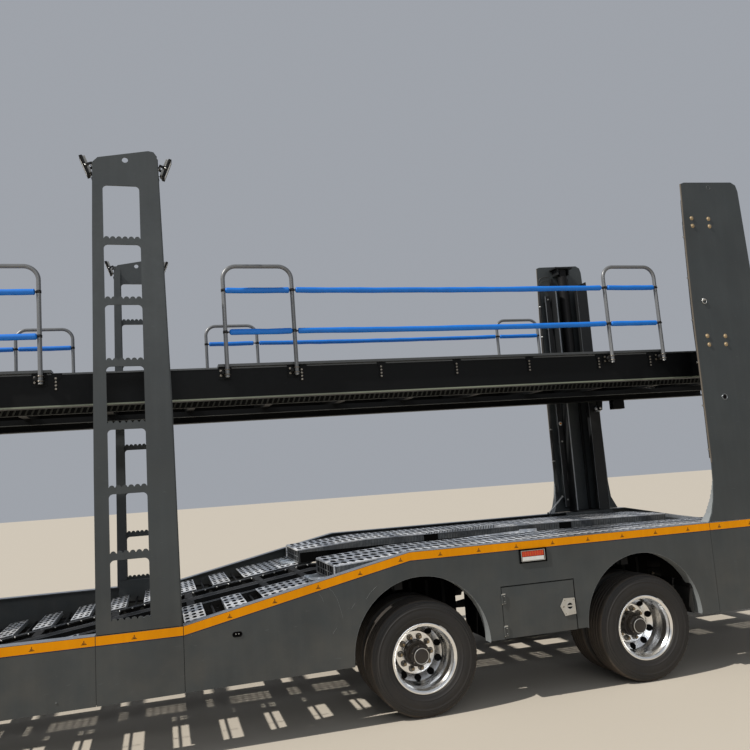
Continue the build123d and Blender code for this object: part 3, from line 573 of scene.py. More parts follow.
# ---------------------------------------------------------------- side marker lamps, door furniture, slot lip
b = Bag("side_markers")
for sg, _ in SIDES:
    for s0, zc in ((0.752, 1.0125), (-4.600, 0.690), (-7.900, 1.285), (3.560, 0.930)):
        w, h, y = 0.218, 0.099, sg * W2
        sc = s0 + w / 2
        b.box(X(sc - w / 2), X(sc + w / 2), y, y + sg * 0.0035, zc - h / 2, zc + h / 2, "dark", 0.001)
        for a0, a1, c0, c1 in ((-w / 2, w / 2, h / 2 - 0.011, h / 2), (-w / 2, w / 2, -h / 2, -h / 2 + 0.011), (-w / 2, -w / 2 + 0.014, -h / 2, h / 2), (w / 2 - 0.014, w / 2, -h / 2, h / 2)):
            b.box(X(sc + a0), X(sc + a1), y + sg * 0.0035, y + sg * 0.0095, zc + c0, zc + c1, "dark", 0.002)
        for a0, a1, c0, c1 in ((-0.092, 0.092, 0.0345, 0.0385), (-0.092, 0.092, -0.0385, -0.0345), (-0.095, -0.090, -0.0385, 0.0385), (0.090, 0.095, -0.0385, 0.0385)):
            b.box(X(sc + a0), X(sc + a1), y + sg * 0.0035, y + sg * 0.0082, zc + c0, zc + c1, "zinc", 0.0005)
        b.box(X(sc - 0.086), X(sc + 0.086), y + sg * 0.0035, y + sg * 0.0075, zc - 0.004, zc + 0.033, "red", 0.002)
        b.box(X(sc - 0.086), X(sc + 0.086), y + sg * 0.0035, y + sg * 0.0075, zc - 0.033, zc - 0.007, "white", 0.002)
        for k in range(9):
            q = sc - 0.078 + 0.0195 * k
            b.box(X(q - 0.001), X(q + 0.001), y + sg * 0.0074, y + sg * 0.0081, zc - 0.002, zc + 0.031, "amber", 0.0003)
b.build("trailer")

for sg, side in SIDES:
    y = sg * W2
    b = Bag("door_fittings_" + side)
    # silver hinge leaves and pins
    for z0 in (0.478, 0.698):
        b.box(X(0.5925), X(0.618), y, y + sg * 0.0025, z0, z0 + 0.070, "zinc", 0.0008)
        b.rod(P(0.589, y + sg * 0.0062, z0 - 0.004), P(0.589, y + sg * 0.0062, z0 + 0.066), 0.0035, "zinc", 10)
        for dz in (0.015, 0.052):
            b.lathe([(0, 0.0045), (0.003, 0.004), (0.0045, 0.002), (0.0048, 0)], P(0.607, y + sg * 0.0022, z0 + dz), (0, sg, 0), "zinc", 12)
    # five-sided lock plate with its handle cup
    pent = [(1.040, 0.633), (1.072, 0.687), (1.160, 0.684), (1.164, 0.570), (1.074, 0.562)]
    b.prism([(X(s), z) for s, z in pent], y + sg * 0.0058, y + sg * 0.0072, "zinc")
    inner = [(1.1045 + (s - 1.1045) * 0.86, 0.628 + (z - 0.628) * 0.86) for s, z in pent]
    b.prism([(X(s), z) for s, z in inner], y + sg * 0.0070, y + sg * 0.0078, "zinc")
    b.lathe([(0.0, 0.0012), (0.020, 0.0012), (0.022, 0.0), (0.024, 0.0016), (0.027, 0.0014), (0.028, 0)], P(1.118, y + sg * 0.0072, 0.630), (0, sg, 0), "dark", 24, keys=["dark", "dark", "zinc", "zinc", "zinc"])
    b.box(X(1.098), X(1.140), y + sg * 0.0078, y + sg * 0.0105, 0.624, 0.636, "zinc", 0.002)
    b.lathe([(0, 0.0022), (0.006, 0.002), (0.007, 0)], P(1.066, y + sg * 0.0074, 0.628), (0, sg, 0), "nut", 14)
    for s, z in ((1.078, 0.672), (1.150, 0.670), (1.152, 0.582), (1.082, 0.576)):
        b.lathe([(0, 0.0018), (0.003, 0.0014), (0.004, 0)], P(s, y + sg * 0.0074, z), (0, sg, 0), "nut", 10)
    # rubber strip around the door and a dark joint line
    for s0, s1, z0, z1 in ((0.5925, 1.1675, 0.8105, 0.8128), (0.5925, 1.1675, 0.4562, 0.4585), (1.1652, 1.1678, 0.4562, 0.8128)):
        b.box(X(s0), X(s1), y - sg * 0.001, y + sg * 0.0006, z0, z1, "dark", 0.0002)
    b.build(side + "_door")

b = Bag("skirt_slot_lips")
for sg, _ in SIDES:
    path = []
    for k in range(33):
        t = 2 * math.pi * k / 32
        cx0 = 0.015 if math.cos(t) > 0 else -0.015
        path.append((X(-1.270) + cx0 + 0.0145 * math.cos(t), sg * (W2 + 0.0012), 0.712 + 0.0145 * math.sin(t)))
    b.tube(path, 0.0026, "dark", 8, closed_ends=False)
    # painted shade inside the slot: a black sheet behind it, with two zinc buttons as painted glints
    b.box(X(-1.300), X(-1.240), sg * (W2 - 0.0110), sg * (W2 - 0.0086), 0.6965, 0.7275, "dark", 0.0005)
    for e in (-0.008, 0.010):
        b.lathe([(0, 0.0030), (0.0040, 0.0026), (0.0052, 0)], P(-1.270 + e, sg * (W2 - 0.0086), 0.713), (0, sg, 0), "zinc", 14)
    # strips behind the joints between the skirt panels
    for c, z0, key in ((-2.127, 0.396, "grey"), (-1.604, 0.402, "dark"), (2.405, 0.446, "arch")):
        b.box(X(c + 0.013), X(c - 0.013), sg * 1.2610, sg * 1.2668, z0, top_z(c) - 0.014, key, 0.0005)
    # scuffs in the paint
    for line in SCUFFS:
        b.tube([P(s, sg * (W2 + 0.0001), z) for s, z in line], 0.0007, "scuff", 6)
    # bolt rows that hold the skirts, along the lower edge and beside the seams
    for s in (-5.60, -4.95, -4.30, -3.65, -3.00, -2.35):
        b.lathe([(0, 0.0028), (0.006, 0.0022), (0.008, 0)], P(s, sg * W2, 0.440), (0, sg, 0), "grey", 12)
b.build("trailer")

# ---------------------------------------------------------------- perforated planks of the lower deck
b = Bag("lower_planks")
for k in range(14):
    s = -1.520 + 0.285 * (1 - k)
    a = RISE if s > -3.170 else 0.0
    z = track_z(s) + (0.0045 if a == 0 else 0.0065)
    for sg, _ in SIDES:
        T = Matrix.Translation((X(s), 0, z)) @ Matrix.Rotation(a, 4, "Y")
        y0, y1 = sorted((sg * 0.410, sg * 1.150))
        # top in the lighter galvanised copy (painted light), hole walls in black (painted shade)
        b.perf(-0.0725, 0.0725, y0, y1, 3, 6, 0.0155, 0.0390, 0.005, "plate", T=T, rim=0.0010, wall="dark")
        # painted shade: black sheet a little under the holes, so that they read dark
        b.box(-0.0660, 0.0660, y0 + 0.004, y1 - 0.004, -0.0125, -0.0105, "dark", 0.0005, T=T)
        for e in (-1, 1):
            b.box(e * 0.0725, e * 0.0675, y0, y1, -0.035, -0.005, "galv", 0.001, T=T)
        # rung and stay in the well behind the plank
        z2 = track_z(s + 0.1425) - 0.030
        b.rod((X(s + 0.1425), y0 + 0.002, z2), (X(s + 0.1425), y1 - 0.002, z2), 0.0085, "chassis", 10)
        for q in (0.62, 0.94):
            b.box(X(s + 0.0730), X(s + 0.2120), sg * (q - 0.003), sg * (q + 0.003), z2 - 0.020, z2 - 0.004, "chassis", 0.001)
for sg, _ in SIDES:
    T = Matrix.Translation((X(-0.8055), 0, track_z(-0.8055) + 0.0072)) @ Matrix.Rotation(RISE, 4, "Y")
    y0, y1 = sorted((sg * 0.410, sg * 1.150))
    L = 0.479 / math.cos(RISE) / 2
    # same over the slope: black hole walls and a black sheet under the holes as painted shade
    b.perf(-L, L, y0, y1, 9, 6, 0.0170, 0.0400, 0.005, "plate", T=T, rim=0.0010, wall="dark")
    b.box(-L + 0.004, L - 0.004, y0 + 0.004, y1 - 0.004, -0.0125, -0.0105, "dark", 0.0005, T=T)
    # tray in front of the raised box
    for s0, s1, q0, q1, h in ((-0.690, -0.575, 0.560, 0.760, 0.004), (-0.690, -0.684, 0.560, 0.760, 0.020), (-0.690, -0.575, 0.560, 0.566, 0.020), (-0.690, -0.575, 0.754, 0.760, 0.020)):
        zz = track_z((s0 + s1) / 2) + 0.0095
        b.box(X(s0), X(s1), sg * q0, sg * q1, zz, zz + h, "galv", 0.001)
b.build("trailer", ["lower_deck_tracks"])

# worn edges of rails and spine, and rows of round heads along the rails
b = Bag("rail_edges")
line = [(-5.345, 0.5452), (-3.230, 0.5452), (-0.524, 0.9312), (4.095, 0.9312)]
spine = [(-5.335, 0.5432), (-3.230, 0.5432), (-0.524, 0.9292), (4.085, 0.9292)]
for sg, _ in SIDES:
    for q0, q1 in ((0.3455, 0.3535), (0.3975, 0.4048)):
        bar_line(b, line, sg * q0, sg * q1, 0.0012, "worn")
    bar_line(b, spine, sg * 0.068, sg * 0.0745, 0.0012, "worn")
    s = -5.20
    while s < 3.95:
        z = (track_z(s) - 0.0118) if s < -0.53 else 0.925
        b.lathe([(0, 0.004), (0.005, 0.0034), (0.0072, 0.0015), (0.0075, 0)], P(s, sg * 0.345, z), (0, -sg, 0), "zinc", 8)
        s += 0.098
b.build("trailer")

# ---------------------------------------------------------------- raised tracks over the wheels, and down to the tail
BOX_LINE = [(-0.560, 1.055), (0.060, 1.099), (2.200, 1.096), (3.250, 1.080)]


def box_top(s):
    for (a, za), (c, zc) in zip(BOX_LINE, BOX_LINE[1:]):
        if s <= c:
            return za + (zc - za) * (s - a) / (c - a)
    return BOX_LINE[-1][1]


b = Bag("raised_track_plates")
for sg, _ in SIDES:
    y0, y1 = sorted((sg * 0.410, sg * 1.075))
    for (sa, za), (sb, zb) in zip(BOX_LINE, BOX_LINE[1:]):
        L = math.hypot(sb - sa, zb - za) / 2
        T = Matrix.Translation((X((sa + sb) / 2), 0, (za + zb) / 2 + 0.003)) @ Matrix.Rotation(math.atan2(zb - za, sb - sa), 4, "Y")
        # tops in the lighter galvanised copy (painted light), black hole walls and a black sheet under the holes
        # (painted shade)
        b.perf(-L, L, y0, y1, round(2 * L / 0.0625), 4, 0.0190, 0.0600, 0.004, "plate", T=T, rim=0.0008, wall="dark", shift=0.0095)
        b.box(-L, L, y0 + 0.008, y1 - 0.008, -0.0150, -0.0120, "dark", 0.0005, T=T)
    # sides with slanted ribs, in the darker galvanised copy as painted shade
    for y, out in ((0.410, -1), (1.075, 1)):
        ya, yb = sg * y, sg * (y - out * 0.005)
        b.prism([(X(-0.560), 0.942), (X(3.250), 0.942)] + [(X(s), z - 0.0008) for s, z in reversed(BOX_LINE)], min(ya, yb), max(ya, yb), "galv_shaded")
        n = 138
        for k in range(n):
            s = -0.545 + k * (3.78 / n)
            z0, z1 = 0.950, box_top(s + 0.024) - 0.012
            yo = sg * (y + out * 0.0038)
            b.prism([(X(s), z0), (X(s + 0.009), z0), (X(s + 0.025), z1), (X(s + 0.016), z1)], ya, yo, "galv_shaded")
        # folded bright edge along the top of the side
        for (sa, za), (sb, zb) in zip(BOX_LINE, BOX_LINE[1:]):
            b.prism([(X(sa), za + 0.0022), (X(sb), zb + 0.0022), (X(sb), zb - 0.0075), (X(sa), za - 0.0075)], ya, sg * (y + out * 0.0026), "plate")
    # shaded lower part of the inner side
    b.prism([(X(-0.548), 0.944), (X(3.240), 0.944), (X(3.240), 0.972), (X(2.600), 1.020), (X(0.900), 1.036), (X(-0.548), 1.030)], sg * 0.4100, sg * 0.4058, "dark")
    # access openings in the inner side drawn as black sheets (painted shade), and a short ribbed flange above it
    for s0, s1 in ((0.620, 0.760), (2.030, 2.160)):
        b.prism([(X(s0), 0.948), (X(s1), 0.948), (X(s1), box_top(s1) - 0.010), (X(s0), box_top(s0) - 0.010)], sg * 0.4095, sg * 0.4052, "dark")
    b.prism([(X(0.500), 1.090), (X(1.360), 1.090), (X(1.360), 1.1235), (X(1.200), 1.1285), (X(1.196), 1.1185), (X(0.500), 1.0985)], sg * 0.4045, sg * 0.4090, "plate")
    for k in range(27):
        s = 0.640 + 0.0262 * k
        b.prism([(X(s), 1.0925), (X(s + 0.008), 1.0925), (X(s + 0.014), 1.1005 + 0.0265 * (s - 0.5)), (X(s + 0.006), 1.1000 + 0.0265 * (s - 0.5))], sg * 0.4030, sg * 0.4046, "galv_shaded")
    # front end: frame with a grille in a recess; the black sheet behind the grille is painted shade and the bars are in
    # the darker galvanised copy
    for s0, s1, q0, q1, z0, z1, key in [
        (-0.556, -0.552, 0.416, 1.069, 0.942, 1.046, "dark"),
        (-0.566, -0.552, 0.410, 0.424, 0.942, 1.054, "galv_shaded"),
        (-0.567, -0.552, 1.046, 1.075, 0.942, 1.0555, "plate"),
        (-0.566, -0.552, 0.410, 1.075, 1.043, 1.0560, "plate"),
        (-0.566, -0.552, 0.410, 1.075, 0.942, 0.952, "galv_shaded"),
        (-0.561, -0.555, 0.420, 1.060, 0.990, 0.996, "galv_shaded"),
    ] + [(-0.561, -0.555, 0.520 + 0.088 * k, 0.532 + 0.088 * k, 0.950, 1.046, "galv_shaded") for k in range(6)]:
        b.box(X(s0), X(s1), sg * q0, sg * q1, z0, z1, key, 0.0012)
    # rear end plate in the darker galvanised copy: painted shade
    b.box(X(3.244), X(3.250), sg * 0.416, sg * 1.069, 0.942, 1.078, "galv_shaded", 0.001)
    # sloping tail plates, lighter galvanised copy with black hole walls as painted shade
    a = math.atan2(0.163, 0.941)
    L = math.hypot(0.941, 0.163) / 2
    T = Matrix.Translation((X(3.7245), 0, 0.9965)) @ Matrix.Rotation(-a, 4, "Y")
    y0, y1 = sorted((sg * 0.410, sg * 1.150))
    b.perf(-L, L, y0, y1, 16, 5, 0.0185, 0.0540, 0.005, "plate", T=T, rim=0.0012, wall="dark", shift=0.008)
    for q in (0.410, 1.144):
        b.box(-L, L, sg * q, sg * (q + 0.006), -0.034, -0.005, "galv", 0.001, T=T)
b.build("trailer", ["raised_tracks"])

# ---------------------------------------------------------------- tyres, nuts, caps and valves
def mirror(half):
    """(radius, offset) list from the crown outwards, mirrored to both sides"""
    return [(r, -o) for r, o in reversed(half)] + half


TREAD = [(0.3925, 0.0), (0.3924, 0.0125), (0.3820, 0.0140), (0.3820, 0.0210), (0.3922, 0.0225), (0.3918, 0.0465), (0.3815, 0.0480), (0.3815, 0.0550), (0.3914, 0.0565),
         (0.3908, 0.0700), (0.3894, 0.0815), (0.3868, 0.0880), (0.3825, 0.0925), (0.3790, 0.0938)]
SIDEWALL = [(0.3745, 0.0985), (0.3722, 0.0985), (0.3708, 0.1030), (0.3665, 0.1040), (0.3640, 0.1025), (0.3600, 0.1048), (0.3560, 0.1070), (0.3545, 0.1092), (0.3515, 0.1096), (0.3500, 0.1085),
            (0.3400, 0.1113), (0.3385, 0.1135), (0.3350, 0.1140), (0.3330, 0.1124), (0.3200, 0.1148), (0.3080, 0.1158), (0.2960, 0.1157), (0.2840, 0.1142), (0.2790, 0.1130), (0.2770, 0.1140),
            (0.2735, 0.1136), (0.2720, 0.1118), (0.2640, 0.1098), (0.2560, 0.1062), (0.2535, 0.1066), (0.2510, 0.1052), (0.2460, 0.1048), (0.2420, 0.1015), (0.2402, 0.0970), (0.2396, 0.0840)]
LINER = [(0.2232, 0.0830), (0.2232, 0.0665), (0.2400, 0.0780), (0.2640, 0.0900), (0.3000, 0.0980), (0.3300, 0.0960), (0.3500, 0.0840), (0.3600, 0.0600), (0.3620, 0.0)]
HALF = TREAD + SIDEWALL + LINER
PROFILE = HALF + [(r, -o) for r, o in reversed(HALF[1:-1])]
for i, a in enumerate(AXLES):
    for sg, side in SIDES:
        base = ("front", "rear")[i] + "_" + side
        b = Bag(base + "_tyre_pair")
        n_t = len(TREAD)
        keys = []
        for j in range(len(PROFILE)):
            o = PROFILE[j][1] + PROFILE[(j + 1) % len(PROFILE)][1]
            r = (PROFILE[j][0] + PROFILE[(j + 1) % len(PROFILE)][0]) / 2
            keys.append("tread" if r > 0.376 and abs(o) < 0.187 else "tyre")
        for yc in (Y_OUT, Y_IN):
            b.lathe(PROFILE, P(a, sg * yc, AXLE_Z), (0, sg, 0), "tyre", 112, closed=True, keys=keys)
        # small wear ticks on each shoulder
        for k in range(56):
            t = 2 * math.pi * k / 56
            for yc in (Y_OUT, Y_IN):
                for e in (-1, 1):
                    c = (X(a) + 0.3852 * math.cos(t), sg * (yc + e * 0.0902), AXLE_Z + 0.3852 * math.sin(t))
                    T = Matrix.Translation(c) @ Matrix.Rotation(-t, 4, "Y")
                    b.box(-0.0042, 0.0040, -0.0022, 0.0022, -0.0032, 0.0032, "tread", 0.0008, T=T)
        b.build(base + "_wheels", [base + "_tyres"])

        b = Bag(base + "_wheel_fittings")
        disc = 1.0145
        yo = lambda y: sg * y
        c0 = P(a, 0, AXLE_Z)
        ax = (0, sg, 0)

        def at(rad, ang, y):
            t = math.radians(ang)
            return (X(a) + rad * math.cos(t), sg * y, AXLE_Z + rad * math.sin(t))

        # dark step round the flat of the disc and polished rings on it
        b.lathe([(0.1462, disc + 0.0002), (0.1470, disc + 0.0012), (0.1515, disc - 0.0025), (0.1500, disc - 0.0032)], c0, ax, "dark", 72)
        b.lathe([(0.0890, disc + 0.0002), (0.0900, disc + 0.0014), (0.0925, disc + 0.0014), (0.0930, disc + 0.0002)], c0, ax, "rim", 60)
        for k in range(10):
            ang = 36 * k if sg > 0 else 180 - 36 * k
            c = at(0.1125, ang, disc)
            # black disc round each nut: painted shade in the recess round the nut
            b.lathe([(0.0, 0.0006), (0.0205, 0.0006), (0.0222, 0.0001)], c, ax, "dark", 24)
            b.lathe([(0.0, 0.0040), (0.0170, 0.0040), (0.0190, 0.0026), (0.0190, 0.0006)], c, ax, "nut", 22)
            b.nut(at(0.1125, ang, disc + 0.0035), ax, 0.0300, 0.0235, "nut")
            b.lathe([(0.0, 0.0385), (0.0085, 0.0385), (0.0108, 0.0365), (0.0113, 0.0230)], c, ax, "rust", 16)
        # shaded, rounded edge of each hand hole
        for k in range(10):
            ang = math.radians(18 + 36 * k if sg > 0 else 180 - 18 - 36 * k)
            rc = 0.170
            c = (X(a) + rc * math.cos(ang), sg * (Y_OUT - 0.1020), AXLE_Z + rc * math.sin(ang))
            n = (-0.588 * math.cos(ang), sg * 0.809, -0.588 * math.sin(ang))
            b.lathe([(0.0, 0.0006), (0.0180, 0.0008), (0.0232, 0.0014), (0.0256, 0.0010), (0.0262, 0.0)], c, n, "dark", 26)
        # barrel and cap of the hub, turned rings
        b.lathe([(0.0872, 0.9990), (0.0872, 1.0200), (0.0866, 1.0215), (0.0866, 1.0400), (0.0870, 1.0410), (0.0870, 1.0600), (0.0850, 1.0690), (0.0795, 1.0770), (0.0745, 1.0800), (0.0720, 1.0860),
                 (0.0714, 1.1010), (0.0722, 1.1020), (0.0722, 1.1060), (0.0712, 1.1070), (0.0708, 1.1230), (0.0690, 1.1300), (0.0640, 1.1335), (0.0590, 1.1345), (0.0575, 1.1365), (0.0572, 1.1545),
                 (0.0555, 1.1590), (0.0525, 1.1602), (0.0500, 1.1598), (0.0485, 1.1586), (0.0430, 1.1586), (0.0405, 1.1600), (0.0300, 1.1612), (0.0, 1.1618)], c0, ax, "hub", 48,
                keys=["hub"] * 20 + ["zinc", "zinc", "hub", "hub", "hub", "hub", "hub"])
        for k in range(6):
            b.nut(at(0.0645, 60 * k + 20, 1.1330), ax, 0.0082, 0.0035, "nut")
        # valve stem bent out of one hand hole, and a clip-on balance weight
        v0, v1 = at(0.168, 96 * sg + 90 - 90 * sg, 1.006), at(0.196, 96 * sg + 90 - 90 * sg, 1.058)
        b.tube([v0, tuple((p + q) / 2 for p, q in zip(v0, v1)), v1], 0.0038, "zinc", 10)
        b.lathe([(0.0, 0.010), (0.004, 0.0095), (0.005, 0.007), (0.005, 0.0)], v1, (Vector(v1) - Vector(v0)), "hose", 12)
        w0 = 128 if sg > 0 else 52
        b.tube([at(0.2385, w0 + d, Y_OUT + 0.0965) for d in range(-7, 8, 2)], 0.0036, "zinc", 8)
        # polished bead round the rim's lip
        b.lathe([(0.2362, Y_OUT + 0.0985), (0.2352, Y_OUT + 0.0998), (0.2290, Y_OUT + 0.0998), (0.2240, Y_OUT + 0.0985), (0.2222, Y_OUT + 0.0960)], c0, ax, "rim", 96)
        b.build(base + "_wheels")

# ---------------------------------------------------------------- lamps: floodlights up on the ladders, tail clusters
b = Bag("flood_and_tail_lamps")
for sg, _ in SIDES:
    for sc, lean, face in ((-2.143, 21, 1), (-1.617, -21, -1)):
        yc = 1.222
        T = Matrix.Translation((X(sc), sg * yc, 3.8425)) @ Matrix.Rotation(math.radians(lean), 4, "Y")
        # shallow housing, cream lens in a rim, cooling fins behind
        b.box(-0.008 * face, 0.006 * face, -0.041, 0.041, -0.070, 0.070, "chassis", 0.003, T=T)
        b.box(0.006 * face, 0.0105 * face, -0.0365, 0.0365, -0.0655, 0.0655, "lens", 0.002, T=T)
        for u, w, z0, z1 in ((-0.041, -0.0365, -0.070, 0.070), (0.0365, 0.041, -0.070, 0.070), (-0.0365, 0.0365, -0.070, -0.0655), (-0.0365, 0.0365, 0.0655, 0.070)):
            b.box(0.006 * face, 0.0125 * face, u, w, z0, z1, "chassis", 0.0012, T=T)
        for r in range(3):
            for q in range(5):
                b.lathe([(0, 0.0022), (0.0045, 0.0018), (0.0062, 0)], (0.0100 * face, -0.023 + 0.023 * r, -0.048 + 0.024 * q), (face, 0, 0), "white", 10, T=T)
        for k in range(9):
            u = -0.034 + 0.0085 * k
            b.box(-0.024 * face, -0.008 * face, u - 0.0014, u + 0.0014, -0.060, 0.060, "fin", 0.0006, T=T)
        b.box(-0.014 * face, -0.008 * face, -0.036, 0.036, -0.064, 0.064, "fin", 0.001, T=T)
        # stirrup, knuckle bolt and the lug on the column's edge
        d = -face
        edge = -2.098 if face > 0 else -1.672
        for e in (-1, 1):
            b.box(-0.046 * face, -0.004 * face, e * 0.0425, e * 0.0395, -0.014, 0.004, "chassis", 0.0008, T=T)
            b.lathe([(0, 0.0045), (0.005, 0.004), (0.0065, 0.001), (0.0065, 0)], (-0.004 * face, e * 0.0425, -0.005), (0, e, 0), "zinc", 12, T=T)
        b.box(-0.049 * face, -0.045 * face, -0.0425, 0.0425, -0.014, 0.004, "chassis", 0.0008, T=T)
        p0 = T @ Vector((-0.047 * face, 0, -0.005))
        p1 = Vector((X(edge), sg * 1.235, 3.834))
        b.rod(p0, p1, 0.0075, "zinc", 12)
        b.nut(p0, (p1 - p0), 0.020, 0.007, "zinc")
        b.tube([T @ Vector((-0.012 * face, 0.012 * sg, -0.058)), T @ Vector((-0.030 * face, 0.014 * sg, -0.072)), Vector((X(edge) + (0.004 * face), sg * 1.236, 3.760)), Vector((X(edge) - 0.012 * face, sg * 1.236, 3.690))], 0.0032, "hose", 8)
    # tail cluster: housing, three round lenses, reflector strip
    y0, y1 = sorted((sg * 0.760, sg * 1.150))
    b.box(X(4.2005), X(4.2170), y0, y1, 0.560, 0.680, "chassis", 0.004)
    for yc, key in ((0.823, "white"), (0.955, "red"), (1.087, "amber")):
        c = P(4.2170, sg * yc, 0.622)
        b.lathe([(0.0, 0.0068), (0.020, 0.0064), (0.038, 0.0046), (0.0455, 0.0018), (0.0465, 0.0)], c, (-1, 0, 0), key, 36)
        b.lathe([(0.0465, 0.0), (0.0475, 0.0050), (0.0515, 0.0050), (0.0535, 0.0)], c, (-1, 0, 0), "zinc", 36)
        for rr in (0.014, 0.026):
            b.lathe([(rr - 0.001, 0.0056), (rr, 0.0076 - rr * 0.05), (rr + 0.001, 0.0056)], c, (-1, 0, 0), key, 30)
    b.box(X(4.2170), X(4.2195), y0 + 0.02, y1 - 0.02, 0.5645, 0.5725, "red", 0.0006)
b.build("trailer", ["lamps"])

# ---------------------------------------------------------------- upper deck: perforated wheel tracks
def deck_tracks(name, s0, s1, body, node, T):
    b = Bag(name)
    L = s1 - s0
    nx = round(L / 0.056)
    for sg, _ in SIDES:
        y0, y1 = sorted((sg * 0.380, sg * 0.895))
        TT = T @ Matrix.Translation((0, 0, DB_Z0 + 0.212))
        b.perf(X(s1), X(s0), y0, y1, nx, 9, 0.0165, 0.0165, 0.006, "track", T=TT, rim=0.0016)
        for y in (0.380, 0.889):
            ya, yb = sorted((sg * y, sg * (y + 0.006)))
            b.box(X(s1), X(s0), ya, yb, DB_Z0 + 0.142, DB_Z0 + 0.206, "track", 0.0012, T=T)
        # short cleats across the track at even steps
        s = s0 + 0.32
        while s < s1 - 0.2:
            b.box(X(s) - 0.010, X(s) + 0.010, y0 + 0.03, y1 - 0.03, DB_Z0 + 0.2121, DB_Z0 + 0.2205, "track", 0.003, T=T)
            s += 0.56
    b.build(body, [node])


deck_tracks("upper_track_plates", -6.200, 4.320, "upper_deck", "upper_deck_tracks", DT)
deck_tracks("front_track_plates", -9.330, -6.560, "trailer", "front_deck_tracks", Matrix.Identity(4))

# ribbed lip, painted highlight along the lower edge, gussets and bolts along the outer face of each deck beam
GUSSETS = (-5.700, -4.960, -4.220, -3.480, -2.880, -2.367, -0.704, -0.100, 0.510, 1.132, 1.763, 2.253)


def beam_trim(name, s0, s1, body, T, gussets):
    b = Bag(name)
    for sg, _ in SIDES:
        ya, yb = sorted((sg * 0.9852, sg * 0.9872))
        # pale strip along the beam's lower edge: painted highlight
        b.box(X(s1), X(s0), ya, yb, DB_Z0 - 0.0005, DB_Z0 + 0.0105, "pale", 0.0006, T=T)
        ya, yb = sorted((sg * 0.9850, sg * 0.9875))
        b.box(X(s1), X(s0), ya, yb, DB_Z0 + DB_H - 0.012, DB_Z0 + DB_H - 0.001, "cap", 0.0008, T=T)
        # ribbed lip hung under the cross members at the inner edge of the track
        ya, yb = sorted((sg * 0.3840, sg * 0.3880))
        b.box(X(s1) + 0.02, X(s0) - 0.02, ya, yb, DB_Z0 + 0.016, DB_Z0 + 0.0598, "black", 0.001, T=T)
        ya, yb = sorted((sg * 0.3800, sg * 0.3900))
        # the ribs take a lighter copy of the black paint: painted highlight on their edges
        b.box(X(s1) + 0.02, X(s0) - 0.02, ya, yb, DB_Z0 + 0.011, DB_Z0 + 0.016, "ribs", 0.001, T=T)
        s = s0 + 0.05
        yr = sg * 0.3880
        while s < s1 - 0.06:
            b.prism([(X(s), DB_Z0 + 0.018), (X(s + 0.013), DB_Z0 + 0.018), (X(s + 0.029), DB_Z0 + 0.056), (X(s + 0.016), DB_Z0 + 0.056)], yr, yr + sg * 0.0035, "ribs", T=T)
            s += 0.042
        # J-shaped gussets under the cap plate with bright bolt heads
        for g in gussets:
            z1 = DB_Z0 + DB_H - 0.002
            b.prism([(X(g - 0.030), z1), (X(g + 0.040), z1), (X(g + 0.040), z1 - 0.018), (X(g + 0.012), z1 - 0.050), (X(g + 0.006), z1 - 0.112), (X(g - 0.012), z1 - 0.122), (X(g - 0.018), z1 - 0.100), (X(g - 0.008), z1 - 0.060)],
                    sg * 0.9852, sg * 0.9905, "black", T=T)
            for dz in (0.034, 0.058, 0.082, 0.106):
                b.nut(P(g, sg * 0.9905, z1 - dz), (0, sg, 0), 0.014, 0.0060, "nut", T=T)
    b.build(body)


beam_trim("deck_beam_trim", -6.150, 4.300, "upper_deck", DT, GUSSETS)
beam_trim("front_beam_trim", -9.330, -6.520, "trailer", Matrix.Identity(4), (-8.600, -8.000, -7.200))

# feet of the guard hoops: plate, U-bolt, nuts, open tube end
HOOP_SETS = (("hoop_feet", "upper_deck", DT, (-6.030, -5.542, -2.942, -2.455, -1.241, -0.747, 1.862, 2.352)), ("front_hoop_feet", "trailer", Matrix.Identity(4), (-9.250, -8.770, -7.450, -6.970)))
HBASE = DB_Z0 + DB_H - 0.078
for name, body, T, legs in HOOP_SETS:
    b = Bag(name)
    for sg, _ in SIDES:
        for s in legs:
            y = sg * 1.040
            b.box(X(s + 0.034), X(s - 0.062), sg * 0.9852, sg * 0.9905, HBASE - 0.010, HBASE + 0.076, "black", 0.002, T=T)
            for zc in (HBASE + 0.018, HBASE + 0.052):
                pts = []
                for k in range(13):
                    t = math.pi * k / 12
                    pts.append((X(s) - 0.0185 * math.cos(t), sg * (1.0400 + 0.0185 * math.sin(t)), zc))
                pts = [(pts[0][0], sg * 0.9950, zc)] + pts + [(pts[-1][0], sg * 0.9950, zc)]
                b.tube(pts, 0.0034, "nut", 8, T=T)
                b.nut(P(s - 0.042, sg * 0.9905, zc), (0, sg, 0), 0.016, 0.0085, "nut", T=T)
            # round clamp boss on the front side of the leg
            b.lathe([(0.0, 0.020), (0.011, 0.0195), (0.0150, 0.017), (0.0155, 0.003), (0.0155, 0.0)], P(s - 0.030, sg * 1.022, HBASE + 0.035), (0, sg, 0), "chassis", 18, T=T)
            # rolled rim at the cut end of the leg
            ring = [(X(s) + 0.0142 * math.cos(2 * math.pi * k / 24), y + 0.0142 * math.sin(2 * math.pi * k / 24), HBASE + 0.0005) for k in range(25)]
            b.tube(ring, 0.0016, "zinc", 6, T=T, closed_ends=False)
    b.build(body)

# blue sleeves on the guard ropes: thick, slightly irregular, ragged at the ends, dark rope and knot at each leg
ROPE_HEIGHTS = (DB_Z0 + DB_H + 0.242, DB_Z0 + DB_H + 0.545)


